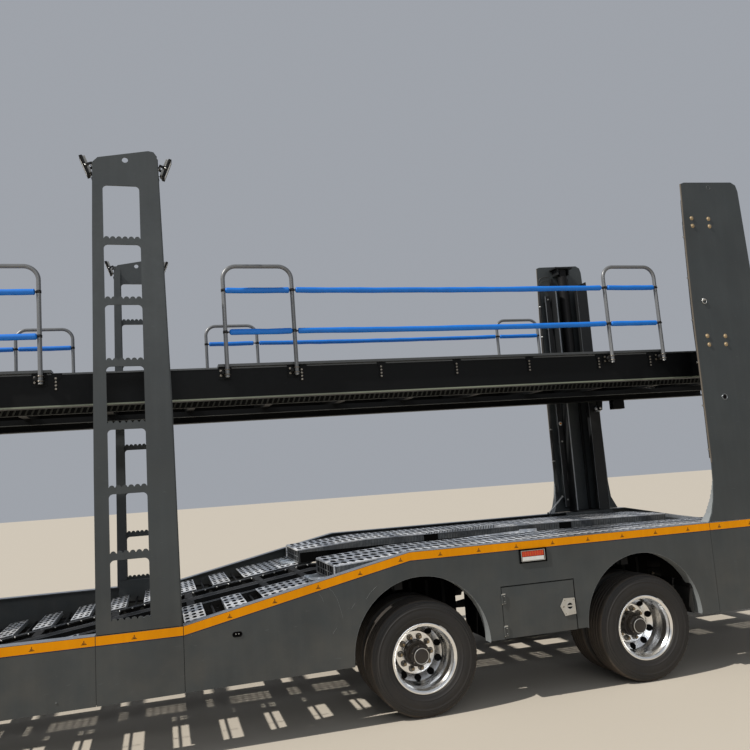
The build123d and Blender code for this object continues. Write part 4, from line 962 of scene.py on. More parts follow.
def sleeves(bag, runs, T):
    for run in runs:
        for s0, s1 in zip(run, run[1:]):
            for z in ROPE_HEIGHTS:
                for sg, _ in SIDES:
                    a0, a1 = s0 + 0.016 + rnd.uniform(0.008, 0.030), s1 - 0.016 - rnd.uniform(0.008, 0.030)
                    n = max(5, int((a1 - a0) / 0.12))
                    pts, rad = [], []
                    sag = -0.007 * min(1.0, (a1 - a0) / 2.5)
                    for k in range(n + 1):
                        f = k / n
                        pts.append((X(a0 + (a1 - a0) * f), sg * 1.040 + rnd.uniform(-0.0008, 0.0008), z + sag * 4 * f * (1 - f) + rnd.uniform(-0.0010, 0.0010)))
                        rad.append(0.0212 + rnd.uniform(-0.0009, 0.0009))
                    bag.tube(pts, rad, "blue", 18, T=T)
                    # tapered, creased cuff and the dark rope coming out of it
                    for p, e in ((pts[0], -1), (pts[-1], 1)):
                        ln = rnd.uniform(0.006, 0.014)
                        bag.lathe([(0.0205, -0.004), (0.0212, 0.0), (0.0190, ln * 0.5), (0.0150, ln), (0.0120, ln + 0.001), (0.0, ln - 0.002)], p, (-e, 0, 0), "blue", 18, T=T)
                        bag.tube([p, (p[0] - e * (ln + 0.012), p[1] + 0.002, p[2] - 0.001), (X(s0 if e < 0 else s1) + e * 0.012, sg * 1.040, z)], 0.0058, "hose", 10, T=T)
        for s in run:
            for z in ROPE_HEIGHTS:
                for sg, _ in SIDES:
                    c = (X(s), sg * 1.040, z)
                    bag.lathe([(0.0152, -0.0105), (0.0172, -0.0095), (0.0176, 0.0), (0.0172, 0.0095), (0.0152, 0.0105)], c, (0, 0, 1), "chassis", 18, T=T)
                    bag.tube([(X(s) + 0.010, sg * 1.0545, z + 0.006), (X(s), sg * 1.0585, z), (X(s) - 0.010, sg * 1.0545, z - 0.006)], 0.0052, "hose", 8, T=T)


b = Bag("rope_sleeves")
sleeves(b, ([-6.030, -5.542, -2.942, -2.455], [-1.241, -0.747, 1.862, 2.352]), DT)
b.build("upper_deck", ["guard_ropes"])

b = Bag("front_guard_rail_set")
sleeves(b, ([-9.250, -8.770, -7.450, -6.970],), Matrix.Identity(4))
for sg, _ in SIDES:
    for s0, s1 in ((-9.250, -8.770), (-7.450, -6.970)):
        top = DB_Z0 + DB_H + 0.722
        pts = [(X(s0), sg * 1.040, HBASE), (X(s0), sg * 1.040, HBASE + 0.25), (X(s0), sg * 1.040, top - 0.095)]
        for k in range(1, 9):
            t = math.pi / 2 * k / 8
            pts.append((X(s0 + 0.095 - 0.095 * math.cos(t)), sg * 1.040, top - 0.095 + 0.095 * math.sin(t)))
        for k in range(0, 9):
            t = math.pi / 2 * k / 8
            pts.append((X(s1 - 0.095 + 0.095 * math.sin(t)), sg * 1.040, top - 0.095 + 0.095 * math.cos(t)))
        pts += [(X(s1), sg * 1.040, HBASE + 0.25), (X(s1), sg * 1.040, HBASE)]
        b.tube(pts, 0.015, "tube", 18)
        for s in (s0, s1):
            b.box(X(s + 0.010), X(s - 0.010), sg * 0.9912, sg * 1.034, HBASE + 0.014, HBASE + 0.056, "cap", 0.002)
b.build("trailer", ["front_guard_rail"])

# ---------------------------------------------------------------- rear lift columns: studs, hoses with clamps, inner rails
COL_S = 2.500
STUDS = ((2.604, 3.608), (2.771, 3.608), (2.605, 3.542), (2.773, 3.543), (2.613, 2.608), (2.788, 2.605), (2.620, 2.536), (2.785, 2.537))


def col_lean(z):
    "how far the plate's front edge leans back at a height"
    if z < 2.700:
        return 0.0
    if z < 3.320:
        return 0.012 * (z - 2.700) / 0.620
    return 0.012 + 0.023 * (z - 3.320) / 0.585


COL_OUT = ((-92, 1123), (-55, 1190), (-25, 1300), (-6, 1440), (0, 1580), (0, 2700), (12, 3320), (35, 3905), (70, 3918), (545, 3940), (590, 3915), (606, 3860), (618, 3515), (640, 2900), (660, 2200), (672, 1420), (690, 1250), (760, 1123))
b = Bag("lift_column_bodies")


def q(pts):
    return [(X(COL_S + u / 1000), z / 1000) for u, z in pts]


for sg, _ in SIDES:
    b.prism(q(COL_OUT), sg * (W2 - 0.012), sg * W2, "grey")
    # folded lip along the flared foot, narrowing upwards, in the pale paint as painted sunlight on it
    knots = ((-92, 1123), (-55, 1190), (-25, 1300), (-6, 1440))
    pts = []
    for (u0, z0), (u1, z1) in zip(knots, knots[1:]):
        for k in range(4):
            pts.append((u0 + (u1 - u0) * k / 4, z0 + (z1 - z0) * k / 4))
    pts.append(knots[-1])
    for (u0, z0), (u1, z1) in zip(pts, pts[1:]):
        f = ((z0 + z1) / 2 - 1123) / 317
        w = 0.086 * (1 - f) ** 1.3 + 0.004
        b.prism(q(((u0, z0), (u1, z1), (u1 + 4, z1), (u0 + 4, z0))), sg * (W2 - 0.012 - w), sg * (W2 - 0.010), "arch")
    # the guide's webs, plates and weld beads take the darker column copy: painted shade
    for u0, u1, z0, z1, y0, y1 in ((150, 162, 1123, 3640, 1.097, 1.265), (535, 547, 1123, 3700, 1.085, 1.265), (420, 535, 1123, 3640, 1.085, 1.097), (420, 432, 1123, 3640, 1.097, 1.147),
                                   (190, 410, 3870, 3888, 1.120, 1.265), (226, 238, 3800, 3871, 1.130, 1.265), (362, 374, 3800, 3871, 1.130, 1.265), (162, 535, 1123, 1135, 1.097, 1.265)):
        b.box(X(COL_S + u1 / 1000), X(COL_S + u0 / 1000), *sorted((sg * y0, sg * y1)), z0 / 1000, z1 / 1000, "column", 0.0015)
    # weld beads where the webs meet the plate, worn edges of the guide
    for u in (149, 163, 534, 548):
        b.tube([(X(COL_S + u / 1000), sg * 1.2622, 1.130 + 0.21 * k) for k in range(12)], 0.0028, "column", 6)
    for u0, u1 in ((418.6, 420.4), (546.6, 548.2)):
        b.box(X(COL_S + u1 / 1000), X(COL_S + u0 / 1000), *sorted((sg * 1.0846, sg * 1.0960)), 1.140, 3.630, "worn", 0.0004)
    b.box(X(COL_S + 0.1625), X(COL_S + 0.1495), *sorted((sg * 1.0966, sg * 1.0985)), 1.140, 3.630, "worn", 0.0004)
    b.prism([(X(COL_S + u), z) for u, z in ((0.012, 0.765), (0.012, 1.1225), (0.570, 1.1225), (0.706, 0.945), (0.720, 0.765))], sg * 1.090, sg * 1.108, "grey")
b.build("trailer", ["rear_lift_columns"])

b = Bag("lift_column_fittings")
for sg, _ in SIDES:
    out = (0, sg, 0)
    for s, z in STUDS:
        c = P(s, sg * W2, z)
        b.lathe([(0.0, 0.0098), (0.0090, 0.0092), (0.0128, 0.0072), (0.0138, 0.0012), (0.0180, 0.0008), (0.0184, 0.0)], c, out, "rust", 26)
    # eye pin hanging in a ring
    c = P(2.614, sg * (W2 + 0.0005), 2.913)
    b.lathe([(0.0, 0.0100), (0.0080, 0.0096), (0.0110, 0.0075), (0.0115, 0.0)], c, out, "zinc", 18)
    ring = [(c[0] - 0.006 + 0.0200 * math.sin(2 * math.pi * k / 24), sg * (W2 + 0.0060), c[2] - 0.0150 + 0.0200 * math.cos(2 * math.pi * k / 24)) for k in range(25)]
    b.tube(ring, 0.0030, "zinc", 8, closed_ends=False)
    # painted shade: black sheet behind the lower hole of the plate and a black disc in it; bushing round both holes
    ya, yb = sorted((sg * 1.2605, sg * 1.2628))
    b.box(X(2.705 + 0.026), X(2.705 - 0.026), ya, yb, 2.078, 2.130, "dark", 0.0004)
    for s, z in ((2.705, 2.104), (2.811, 3.883)):
        b.lathe([(0.0160, -0.0090), (0.0158, 0.0004), (0.0170, 0.0012), (0.0196, 0.0010), (0.0200, 0.0)], P(s, sg * W2, z), out, "cap", 28)
    b.lathe([(0.0, 0.0006), (0.0205, 0.0006), (0.0215, 0.0)], P(2.705, sg * W2, 2.104), out, "dark", 28)
    b.lathe([(0.0215, 0.0), (0.0222, 0.0022), (0.0252, 0.0020), (0.0260, 0.0)], P(2.705, sg * W2, 2.104), out, "worn", 28)
    # worn edge along the front of the plate
    zs = [1.585 + 0.116 * k for k in range(21)]
    for z0, z1 in zip(zs, zs[1:]):
        x0, x1 = X(COL_S + col_lean(z0)), X(COL_S + col_lean(z1))
        b.prism([(x0 + 0.0012, z0), (x0 - 0.0040, z0), (x1 - 0.0040, z1), (x1 + 0.0012, z1)], sg * 1.2632, sg * (W2 + 0.0003), "brownedge")
    # hoses clipped along the inside of the front edge
    for off, rr, z0, z1, ph in ((0.0085, 0.0058, 1.620, 3.740, 0.0), (0.0190, 0.0046, 1.300, 3.700, 1.3)):
        n = 34
        pts = []
        for k in range(n + 1):
            z = z0 + (z1 - z0) * k / n
            pts.append((X(COL_S + off + col_lean(z)) + 0.0016 * math.sin(5.1 * z + ph), sg * (1.2520 + 0.0020 * math.sin(3.7 * z + ph)), z))
        top = pts[-1]
        pts += [(top[0] - 0.010, sg * 1.245, z1 + 0.030), (top[0] - 0.045, sg * 1.232, z1 + 0.052), (top[0] - 0.120, sg * 1.215, z1 + 0.050)]
        b.tube(pts, rr, "hose", 10)
    z = 1.690
    while z < 3.700:
        e = X(COL_S + col_lean(z))
        b.lathe([(0.0068, -0.007), (0.0082, -0.006), (0.0082, 0.006), (0.0068, 0.007)], (e - 0.0085, sg * 1.2520, z), (0, 0, 1), "zinc", 16)
        ya, yb = sorted((sg * 1.2560, sg * 1.2632))
        b.box(e - 0.030, e + 0.012, ya, yb, z - 0.0065, z + 0.0065, "zinc", 0.0008)
        b.lathe([(0.0, 0.0040), (0.0042, 0.0036), (0.0052, 0.0)], (e - 0.022, sg * 1.2560, z), (0, -sg, 0), "zinc", 10)
        z += 0.352
    # guide rails fixed to the inside of the plate, light bar ahead of the front web, rear edge strip
    # rails and strips in the darker column copy: painted shade
    for u0, u1, y0, y1, z0, z1, key in ((0.182, 0.214, 1.2370, 1.2625, 1.140, 3.780, "column"), (0.386, 0.414, 1.2370, 1.2625, 1.140, 3.780, "column"),
                                        (0.0720, 0.1260, 1.1920, 1.2040, 1.180, 3.560, "column"), (0.0690, 0.0722, 1.1900, 1.2055, 1.180, 3.560, "worn"),
                                        (0.5000, 0.5340, 1.2300, 1.2625, 1.140, 3.700, "column")):
        ya, yb = sorted((sg * y0, sg * y1))
        b.box(X(COL_S + u1), X(COL_S + u0), ya, yb, z0, z1, key, 0.0025)
    for zc in (1.260, 1.900, 2.560, 3.200, 3.520):
        ya, yb = sorted((sg * 1.2035, sg * 1.2640))
        b.box(X(COL_S + 0.120), X(COL_S + 0.084), ya, yb, zc - 0.022, zc + 0.022, "column", 0.002)
        b.nut(P(COL_S + 0.100, sg * 1.1920, zc), (0, -sg, 0), 0.017, 0.007, "zinc")
    # round marker, two-coloured
    c = P(COL_S + 0.100, sg * 1.1890, 2.100)
    b.lathe([(0.0, 0.0030), (0.0200, 0.0026), (0.0215, 0.0)], c, (0, -sg, 0), "white", 26)
    b.lathe([(0.0, 0.0044), (0.0110, 0.0042), (0.0120, 0.0028)], c, (0, -sg, 0), "orange", 22)
    # brace rod, right-hand side only, from the skirt to the column's foot
    if sg < 0:
        p0, p1 = Vector(P(2.344, sg * 1.176, 1.128)), Vector(P(2.530, sg * 1.176, 1.300))
        b.rod(p0, p1, 0.0085, "zinc", 12)
        for p, d in ((p0, p1 - p0), (p1, p0 - p1)):
            b.nut(p, d, 0.024, 0.010, "zinc")
        ya, yb = sorted((sg * 1.168, sg * 1.184))
        b.box(X(2.362), X(2.326), ya, yb, 1.1205, 1.1400, "cap", 0.002)
b.build("trailer")

# ---------------------------------------------------------------- roller and bracket under the upper deck's beam
b = Bag("deck_guide_rollers")
zb = DB_Z0 - 0.0735
for sg, _ in SIDES:
    c = P(2.980, sg * 0.990, zb)
    b.lathe([(0.0, 0.0785), (0.0140, 0.0785), (0.0160, 0.0760), (0.0160, 0.0720), (0.0340, 0.0715), (0.0385, 0.0670), (0.0385, 0.0080), (0.0340, 0.0040), (0.0160, 0.0035), (0.0160, 0.0)], c, (0, sg, 0), "bare", 36, T=DT)
    for y0, y1 in ((0.9600, 0.9660), (0.9780, 0.9840)):
        b.prism([(X(2.980) + 0.034, DB_Z0 - 0.0005), (X(2.980) - 0.034, DB_Z0 - 0.0005), (X(2.980) - 0.022, zb - 0.022), (X(2.980) + 0.022, zb - 0.022)], sg * y0, sg * y1, "black", T=DT)
    b.rod(P(2.980, sg * 0.958, zb), P(2.980, sg * 0.992, zb), 0.0140, "zinc", 16, T=DT)
    b.box(X(3.250), X(3.110), *sorted((sg * 0.900, sg * 0.984)), DB_Z0 - 0.098, DB_Z0 - 0.0005, "black", 0.004, T=DT)
    for e in (-0.045, 0.045):
        b.nut(P(3.180 + e, sg * 0.984, DB_Z0 - 0.050), (0, sg, 0), 0.018, 0.008, "zinc", T=DT)
b.build("upper_deck")

# pale perforated strip on the inside of each deck beam near its rear end, rising rearwards
b = Bag("deck_perforated_strips")
for sg, _ in SIDES:
    T = DT @ Matrix.Translation((X(3.900), sg * 0.9700, 2.352)) @ Matrix.Rotation(math.atan2(0.070, 0.80), 4, "Y") @ Matrix.Rotation(math.radians(90), 4, "X")
    b.perf(-0.400, 0.400, -0.0380, 0.0380, 16, 2, 0.0175, 0.0130, 0.004, "galv", T=T, rim=0.0010)
    for k in range(4):
        T2 = DT @ Matrix.Translation((X(3.440 - 0.062 * k), sg * 0.9700, 2.310 - 0.0055 * k))
        b.box(-0.016, 0.016, -0.002, 0.002, -0.011, 0.011, "galv", 0.003, T=T2)
b.build("upper_deck")

# ---------------------------------------------------------------- wheelhouse plates, brake chambers, U-bolts, spring leaves, lines
b = Bag("running_gear_details")
for i, a in enumerate(AXLES):
    for sg, _ in SIDES:
        out = (0, sg, 0)
        # inner wheelhouse plate with a folded foot and stiffening beads
        ya, yb = sorted((sg * 0.6200, sg * 0.6240))
        b.box(X(a + 0.490), X(a - 0.520), ya, yb, 0.505, 0.846, "dark", 0.0012)
        b.box(X(a + 0.490), X(a - 0.520), *sorted((sg * 0.6000, sg * 0.6240)), 0.499, 0.505, "dark", 0.001)
        b.box(X(a + 0.820), X(a + 0.620), ya, yb, 0.505, 0.846, "dark", 0.0012)
        for k in range(7):
            s = a - 0.42 + 0.135 * k
            b.box(X(s + 0.012), X(s - 0.012), *sorted((sg * 0.6238, sg * 0.6275)), 0.570, 0.828, "chassis", 0.0012)
        # brake chamber with clamp band, push rod and slack adjuster
        c = P(a - 0.150, sg * 0.5200, 0.5150)
        ax = (1, 0, 0)
        b.lathe([(0.0, 0.1500), (0.0300, 0.1495), (0.0580, 0.1380), (0.0720, 0.1150), (0.0760, 0.0860), (0.0760, 0.0790)], c, ax, "chassis", 36)
        b.lathe([(0.0760, 0.0800), (0.0840, 0.0790), (0.0850, 0.0730), (0.0840, 0.0670), (0.0760, 0.0660)], c, ax, "zinc", 36)
        b.lathe([(0.0760, 0.0670), (0.0745, 0.0400), (0.0600, 0.0120), (0.0420, 0.0060), (0.0, 0.0055)], c, ax, "chassis", 36)
        b.rod(P(a - 0.145, sg * 0.5200, 0.5150), P(a - 0.068, sg * 0.5200, 0.5150), 0.0085, "bright", 12)
        b.box(X(a - 0.056), X(a - 0.082), *sorted((sg * 0.5080, sg * 0.5320)), 0.448, 0.545, "chassis", 0.004)
        b.tube([P(a - 0.230, sg * 0.5200, 0.5910), P(a - 0.235, sg * 0.5200, 0.650), P(a - 0.220, sg * 0.500, 0.700), P(a - 0.180, sg * 0.430, 0.735), P(a - 0.150, sg * 0.4120, 0.790)], 0.0065, "hose", 10)
        # two U-bolts over the spring and the plate under the axle
        for e in (-0.088, 0.088):
            b.tube([P(a + e, sg * 0.3440, 0.3140), P(a + e, sg * 0.3440, 0.5150), P(a + e, sg * 0.3520, 0.5240), P(a + e, sg * 0.3900, 0.5260), P(a + e, sg * 0.4280, 0.5240), P(a + e, sg * 0.4360, 0.5150), P(a + e, sg * 0.4360, 0.3140)], 0.0080, "nut", 10)
            for y in (0.3440, 0.4360):
                b.nut(P(a + e, sg * y, 0.3120), (0, 0, -1), 0.024, 0.014, "nut")
        b.box(X(a + 0.108), X(a - 0.108), *sorted((sg * 0.3260, sg * 0.4540)), 0.3120, 0.3260, "chassis", 0.003)
        b.box(X(a + 0.062), X(a - 0.062), *sorted((sg * 0.3480, sg * 0.4320)), 0.5185, 0.5300, "chassis", 0.003)
        # leaves shown as thin proud strips down each side of the pack
        z = AXLE_Z + 0.066
        for j, half in enumerate((0.545, 0.430, 0.320, 0.210)):
            top = 0.1230 - 0.0145 * j
            for y0, y1 in ((0.3480, 0.3500), (0.4300, 0.4320)):
                pts_t = [(X(a - half), z + top * (0.28 + 0.72 * (half / 0.545) ** 1.6)), (X(a - half * 0.5), z + top * (0.28 + 0.72 * (half / 1.09) ** 1.6) + 0.0), (X(a), z + 0.0565 - 0.0135 * j), (X(a + half * 0.5), z + top * (0.28 + 0.72 * (half / 1.09) ** 1.6)), (X(a + half), z + top * (0.28 + 0.72 * (half / 0.545) ** 1.6))]
                for (xa, za), (xb, zb2) in zip(pts_t, pts_t[1:]):
                    b.tube([(xa, sg * (y0 + y1) / 2, za - 0.004), (xb, sg * (y0 + y1) / 2, zb2 - 0.004)], 0.0030, "spring", 6)
        # rebound clips
        for e in (-0.330, 0.330):
            for y in (0.3460, 0.4340):
                b.box(X(a + e + 0.014), X(a + e - 0.014), *sorted((sg * (y - 0.0018), sg * (y + 0.0018))), AXLE_Z + 0.112, AXLE_Z + 0.158, "chassis", 0.0008)
    # brake camshaft across, sensor wire along the axle
    for sg, _ in SIDES:
        b.tube([P(a + 0.040, sg * 0.120, AXLE_Z + 0.0680), P(a + 0.052, sg * 0.300, AXLE_Z + 0.0690), P(a + 0.048, sg * 0.560, AXLE_Z + 0.0690), P(a + 0.040, sg * 0.680, AXLE_Z + 0.0680)], 0.0038, "hose", 8)
    b.lathe([(0.0660, -0.055), (0.0700, -0.050), (0.0700, 0.050), (0.0660, 0.055)], P(a, 0, AXLE_Z), (0, 1, 0), "spring", 24)
# spring hanger pins and shackle bolts
for a in (AXLES[0] - 0.605, (AXLES[0] + AXLES[1]) / 2, AXLES[1] + 0.605):
    for sg, _ in SIDES:
        for e, z in ((-0.060, 0.648), (0.060, 0.648)):
            b.nut(P(a + e, sg * 0.4350, z), (0, sg, 0), 0.026, 0.012, "nut")
            b.nut(P(a + e, sg * 0.3450, z), (0, -sg, 0), 0.026, 0.012, "nut")
        b.lathe([(0.0, 0.016), (0.016, 0.0155), (0.022, 0.012), (0.023, 0.0)], P(a, sg * 0.4350, 0.565), (0, sg, 0), "chassis", 24)
# long lines clipped inside the main rails
for sg, y in ((1, 0.3335), (1, 0.3220), (-1, 0.3335)):
    n = 40
    pts = []
    for k in range(n + 1):
        s = -5.20 + 9.20 * k / n
        zt = 0.470 if s < -3.23 else 0.470 + (s + 3.23) * (0.800 - 0.470) / 2.71 if s < -0.52 else 0.800
        pts.append(P(s, sg * (y + 0.003 * math.sin(3 * s)), zt + 0.006 * math.sin(7.3 * s + y * 40)))
    b.tube(pts, 0.0055 if y > 0.33 else 0.0075, "hose", 8)
for sg, _ in SIDES:
    s = -5.0
    while s < 3.9:
        zt = 0.470 if s < -3.23 else 0.470 + (s + 3.23) * (0.800 - 0.470) / 2.71 if s < -0.52 else 0.800
        b.box(X(s + 0.010), X(s - 0.010), *sorted((sg * 0.3160, sg * 0.3952)), zt + 0.012, zt + 0.016, "zinc", 0.0006)
        s += 0.62
# air tank: straps, end welds, drain valve, hoses
for y in (-0.260, 0.260):
    b.lathe([(0.1102, -0.020), (0.1125, -0.018), (0.1125, 0.018), (0.1102, 0.020)], P(2.850, y, 0.5795), (0, 1, 0), "zinc", 48)
    b.rod(P(2.850, y, 0.6900), P(2.850, y, 0.7600), 0.0060, "zinc", 10)
for e in (-1, 1):
    b.lathe([(0.0, 0.4390), (0.040, 0.4375), (0.075, 0.4320), (0.098, 0.4230), (0.1085, 0.4180)], P(2.850, 0, 0.5795), (0, e, 0), "chassis", 48)
    b.lathe([(0.1101, 0.383), (0.1115, 0.387), (0.1101, 0.391)], P(2.850, 0, 0.5795), (0, e, 0), "chassis", 48)
b.lathe([(0.0, 0.024), (0.006, 0.024), (0.009, 0.018), (0.009, 0.006), (0.014, 0.004), (0.014, 0.0)], P(2.850, 0.0, 0.4700), (0, 0, -1), "zinc", 16)
b.tube([P(2.850, 0.380, 0.6890), P(2.840, 0.376, 0.730), P(2.760, 0.350, 0.775), P(2.600, 0.334, 0.798)], 0.0060, "hose", 10)
b.build("trailer")

# folded edge round the inside of each wheel arch, its pale paint standing in for sunlight on the lining: painted light
b = Bag("arch_linings")
for a in AXLES:
    for sg, _ in SIDES:
        n = 44
        for k in range(n):
            t0, t1 = math.pi * k / n, math.pi * (k + 1) / n
            pr = [(X(a - 0.012) + r * math.cos(t), 0.455 + r * math.sin(t)) for r, t in ((0.4948, t0), (0.4948, t1), (0.4932, t1), (0.4932, t0))]
            b.prism(pr, sg * 1.1785, sg * 1.2742, "arch")
        b.prism([(X(a + 0.4828), 0.4550), (X(a + 0.4812), 0.4550), (X(a + 0.4812), 0.4450), (X(a + 0.4828), 0.4450)], sg * 1.1785, sg * 1.2660, "arch")
b.build("trailer")

# ---------------------------------------------------------------- landing legs: gearbox, crank, bolts, foot ribs
b = Bag("landing_leg_fittings")
for sg, _ in SIDES:
    out = (0, sg, 0)
    b.box(X(-5.992), X(-6.098), *sorted((sg * 1.130, sg * 1.168)), 0.560, 0.720, "chassis", 0.008)
    b.lathe([(0.0, 0.052), (0.014, 0.051), (0.019, 0.044), (0.019, 0.030), (0.034, 0.026), (0.038, 0.0)], P(-6.045, sg * 1.168, 0.640), out, "zinc", 28)
    for e in (-0.040, 0.040):
        for z in (0.580, 0.700):
            b.nut(P(-6.045 + e, sg * 1.168, z), out, 0.017, 0.007, "zinc")
    for z in (0.450, 1.060):
        b.box(X(-5.976), X(-6.114), *sorted((sg * 0.996, sg * 1.134)), z, z + 0.026, "chassis", 0.003)
    for s in (-6.150, -5.940):
        for y in (0.975, 1.155):
            b.nut(P(s, sg * y, 0.0215), (0, 0, 1), 0.022, 0.012, "rust")
    # row of holes in the leg drawn as black discs: painted shade
    for k in range(9):
        b.lathe([(0.0, 0.0018), (0.0085, 0.0015), (0.0100, 0.0)], P(-6.045, sg * 1.115, 0.100 + 0.036 * k), out, "dark", 14)
    for e in (-1, 1):
        b.prism([(X(-6.045) + e * 0.030, 0.0600), (X(-6.045) + e * 0.108, 0.0225), (X(-6.045) + e * 0.030, 0.0225)], sg * 1.060, sg * 1.070, "chassis")
# crank on the left-hand leg, folded against the leg
b.tube([P(-6.045, 1.215, 0.640), P(-6.045, 1.236, 0.640), P(-6.052, 1.241, 0.655), P(-6.100, 1.241, 0.820), P(-6.104, 1.236, 0.838), P(-6.104, 1.150, 0.842)], 0.0090, "zinc", 12)
b.lathe([(0.0, 0.100), (0.011, 0.098), (0.0135, 0.090), (0.0120, 0.050), (0.0135, 0.010), (0.0110, 0.0)], P(-6.104, 1.160, 0.842), (0, 1, 0), "hose", 18)
b.build("trailer")

# ---------------------------------------------------------------- neck: air and light couplings on the front beam
b = Bag("front_couplings")
for y, key in ((-0.300, "red"), (0.300, "amber")):
    c = P(-9.330, y, 1.3435)
    b.box(c[0] - 0.035, c[0] + 0.035, y - 0.030, y + 0.030, 1.3435, 1.3500, "cap", 0.002)
    b.lathe([(0.0, 0.052), (0.014, 0.051), (0.030, 0.046), (0.033, 0.038), (0.030, 0.030), (0.016, 0.024), (0.016, 0.006), (0.022, 0.0)], (c[0], y, 1.3500), (0, 0, 1), key, 28)
    b.tube([(c[0] - 0.020, y, 1.362), (c[0] - 0.070, y, 1.368), (c[0] - 0.130, y * 0.9, 1.357), (c[0] - 0.240, y * 0.8, 1.3515)], 0.0070, "hose", 10)
for y in (-0.090, 0.090):
    c = P(-9.325, y, 1.3435)
    b.box(c[0] - 0.040, c[0] + 0.030, y - 0.036, y + 0.036, 1.3435, 1.4060, "chassis", 0.006)
    b.lathe([(0.0, 0.006), (0.026, 0.0055), (0.030, 0.004), (0.0310, 0.0)], (c[0] - 0.005, y, 1.4060), (0, 0, 1), "fin", 26)
    b.box(c[0] + 0.024, c[0] + 0.034, y - 0.020, y + 0.020, 1.400, 1.4140, "chassis", 0.002)
# nuts and grease nipple of the coupler plate round the pin
for k in range(8):
    t = math.pi * (k + 0.5) / 4
    b.nut((X(-8.400) + 0.095 * math.cos(t), 0.095 * math.sin(t), 1.1680), (0, 0, -1), 0.021, 0.009, "zinc")
for s in (-9.150, -8.850, -8.550, -8.250, -7.950, -7.650):
    for y in (-0.560, -0.280, 0.280, 0.560):
        b.lathe([(0.0, 0.0045), (0.009, 0.0042), (0.012, 0.0)], P(s, y, 1.1800), (0, 0, 1), "zinc", 14)
# treads of the deck sheet over the neck
s = -9.250
while s < -6.300:
    for y in (-0.900, -0.540, -0.180, 0.180, 0.540, 0.900):
        b.box(X(s + 0.006), X(s - 0.006), y - 0.090, y + 0.090, 1.3430, 1.3462, "edge", 0.0012)
    s += 0.180
b.build("trailer")

# ---------------------------------------------------------------- tail: bumper marking, blank plate, mouth wear strips, bolts
b = Bag("tail_fittings")
for k in range(14):
    y0 = -1.120 + 0.160 * k
    b.box(X(4.1806), X(4.1800), y0, y0 + 0.160, 0.374, 0.446, "red" if k % 2 == 0 else "white", 0.0002)
b.box(X(4.2045), X(4.2000), -0.262, 0.262, 0.776, 0.890, "white", 0.0016)
for y in (-0.268, 0.2620):
    b.box(X(4.2060), X(4.2000), y, y + 0.006, 0.770, 0.896, "chassis", 0.001)
for z in (0.770, 0.890):
    b.box(X(4.2060), X(4.2000), -0.262, 0.262, z, z + 0.006, "chassis", 0.001)
for y in (-0.150, 0.150):
    b.box(X(4.2200), X(4.2000), y - 0.026, y + 0.026, 0.8990 - 0.0290, 0.8990 - 0.0110, "chassis", 0.003)
for sg, _ in SIDES:
    # worn steel round each ramp mouth
    for ya, yb, z0, z1 in ((0.462, 1.078, 0.6900, 0.6960), (0.462, 1.078, 0.7580, 0.7640), (0.4580, 0.4640, 0.6900, 0.7640), (1.0760, 1.0820, 0.6900, 0.7640)):
        b.box(X(4.2035), X(4.2000), *sorted((sg * ya, sg * yb)), z0, z1, "worn", 0.0008)
    for y in (0.540, 0.700, 0.860, 1.020, 1.180):
        for z in (0.520 + 0.050, 0.868):
            if 0.74 < y < 1.17 and z < 0.7:
                continue
            b.nut(P(4.2000, sg * y, z), (-1, 0, 0), 0.020, 0.008, "zinc")
    # tow eye and lashing hook under the beam's ends
    b.tube([P(4.150, sg * 0.300, 0.540), P(4.150, sg * 0.300, 0.505), P(4.150, sg * 0.330, 0.488), P(4.150, sg * 0.360, 0.505), P(4.150, sg * 0.360, 0.540)], 0.0090, "zinc", 12)
    # end caps of the bumper tube
    b.box(X(4.1835), X(4.0765), *sorted((sg * 1.1800, sg * 1.1860)), 0.3465, 0.4730, "hose", 0.003)
    # mud flap behind the rear wheels: ribbed rubber on a steel strip
    b.box(X(2.206), X(2.200), *sorted((sg * 0.760, sg * 1.235)), 0.450, 0.640, "hose", 0.0015)
    b.box(X(2.212), X(2.194), *sorted((sg * 0.752, sg * 1.242)), 0.640, 0.690, "chassis", 0.002)
    for k in range(12):
        y = 0.785 + 0.039 * k
        b.box(X(2.2082), X(2.2058), *sorted((sg * y, sg * (y + 0.012))), 0.458, 0.630, "hose", 0.0008)
    for y in (0.800, 0.920, 1.075, 1.195):
        b.nut(P(2.212, sg * y, 0.665), (-1, 0, 0), 0.018, 0.008, "zinc")
    # flap across the wheel arch behind the front wheels
    b.box(X(0.506), X(0.500), *sorted((sg * 0.780, sg * 1.232)), 0.450, 0.800, "dark", 0.0015)
b.build("trailer")

for sg, side in SIDES:
    b = Bag("ramp_grips_" + side)
    # serrated teeth along every rung and a grab handle on the end bar
    for k in range(11):
        s = 2.520 + 0.040 + 0.165 * k
        for j in range(21):
            y = 0.530 + 0.0235 * j
            b.prism([(X(s) - 0.012, 0.7421), (X(s) + 0.012, 0.7421), (X(s) + 0.006, 0.7490), (X(s) - 0.006, 0.7490)], sg * y, sg * (y + 0.008), "edge")
    b.tube([P(4.335, sg * 0.700, 0.7520), P(4.335, sg * 0.700, 0.7780), P(4.335, sg * 0.712, 0.7880), P(4.335, sg * 0.828, 0.7880), P(4.335, sg * 0.840, 0.7780), P(4.335, sg * 0.840, 0.7520)], 0.0070, "zinc", 12)
    for y in (0.4700, 1.0300):
        ya, yb = sorted((sg * (y + 0.004), sg * (y + 0.036)))
        b.box(X(4.318), X(2.560), ya, yb, 0.7520, 0.7532, "worn", 0.0004)
        b.nut(P(4.3340, sg * (y + 0.020), 0.7520), (0, 0, 1), 0.020, 0.009, "zinc")
    b.build(side + "_ramp")

# ---------------------------------------------------------------- floor, light, camera
def plain(name, col, rough):
    m, nt, b = new_mat(name)
    b.inputs["Base Color"].default_value = (*col, 1)
    b.inputs["Roughness"].default_value = rough
    return m


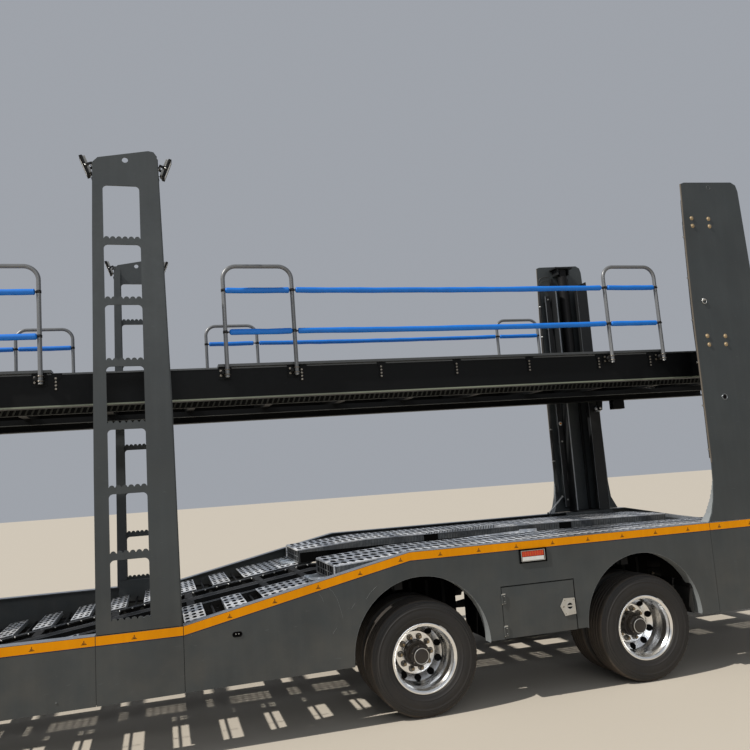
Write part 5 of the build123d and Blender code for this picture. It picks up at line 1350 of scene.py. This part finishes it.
fm = bpy.data.meshes.new("floor")
R = 60.0
fm.from_pydata([(-R, -R, 0), (R, -R, 0), (R, R, 0), (-R, R, 0)], [], [(0, 1, 2, 3)])
floor = bpy.data.objects.new("floor", fm)
floor.data.materials.append(plain("floor_pale", (0.47, 0.425, 0.355), 0.85))
bpy.context.scene.collection.objects.link(floor)

world = bpy.data.worlds.new("studio")
bpy.context.scene.world = world
world.use_nodes = True
world.node_tree.nodes["Background"].inputs[0].default_value = (0.86, 0.91, 1.0, 1)
world.node_tree.nodes["Background"].inputs[1].default_value = 0.40


def area(name, loc, target, size, power, col=(1, 1, 1)):
    d = bpy.data.lights.new(name, "AREA")
    d.shape = "RECTANGLE"
    d.size, d.size_y = size
    d.energy = power
    d.color = col
    o = bpy.data.objects.new(name, d)
    bpy.context.scene.collection.objects.link(o)
    o.location = loc
    o.rotation_euler = (Vector(target) - Vector(loc)).to_track_quat("-Z", "Y").to_euler()
    return o


sun = bpy.data.lights.new("sun", "SUN")
sun.energy = 4.2
sun.angle = math.radians(0.7)
sun.color = (1.0, 0.96, 0.9)
so = bpy.data.objects.new("sun", sun)
bpy.context.scene.collection.objects.link(so)
so.rotation_euler = (Vector((-0.90, -0.20, -1.0))).to_track_quat("-Z", "Y").to_euler()
area("soft_side", (-1.0, 14.0, 6.5), (-3.5, 1.3, 0.8), (9.0, 4.0), 230, (0.93, 0.96, 1.0))

# camera fitted to the photograph: position, then heading, tilt and roll
CAM = (-0.8057, 6.3697, 1.6547)
HEAD, TILT, ROLL = 16.2460, 7.6274, -3.8895
FOCAL_PX = 755.5054
psi, th, ro = (math.radians(a) for a in (HEAD, TILT, ROLL))
fwd = Vector((math.sin(psi) * math.cos(th), math.cos(psi) * math.cos(th), math.sin(th)))
right = Vector((math.cos(psi), -math.sin(psi), 0))
up = right.cross(fwd)
r2 = right * math.cos(ro) + up * math.sin(ro)
u2 = -right * math.sin(ro) + up * math.cos(ro)


def flip(v):
    return Vector((-v.x, -v.y, v.z))


fwd, r2, u2 = flip(fwd), flip(r2), flip(u2)
cd = bpy.data.cameras.new("camera")
cd.sensor_width = 36.0
cd.sensor_fit = "HORIZONTAL"
cd.lens = FOCAL_PX * 36.0 / 750.0
cd.clip_end = 300
cam = bpy.data.objects.new("camera", cd)
bpy.context.scene.collection.objects.link(cam)
mw = Matrix.Identity(4)
for i in range(3):
    mw[i][0], mw[i][1], mw[i][2] = r2[i], u2[i], -fwd[i]
    mw[i][3] = CAM[i]
cam.matrix_world = mw
bpy.context.scene.camera = cam
bpy.context.scene.view_settings.view_transform = "Standard"
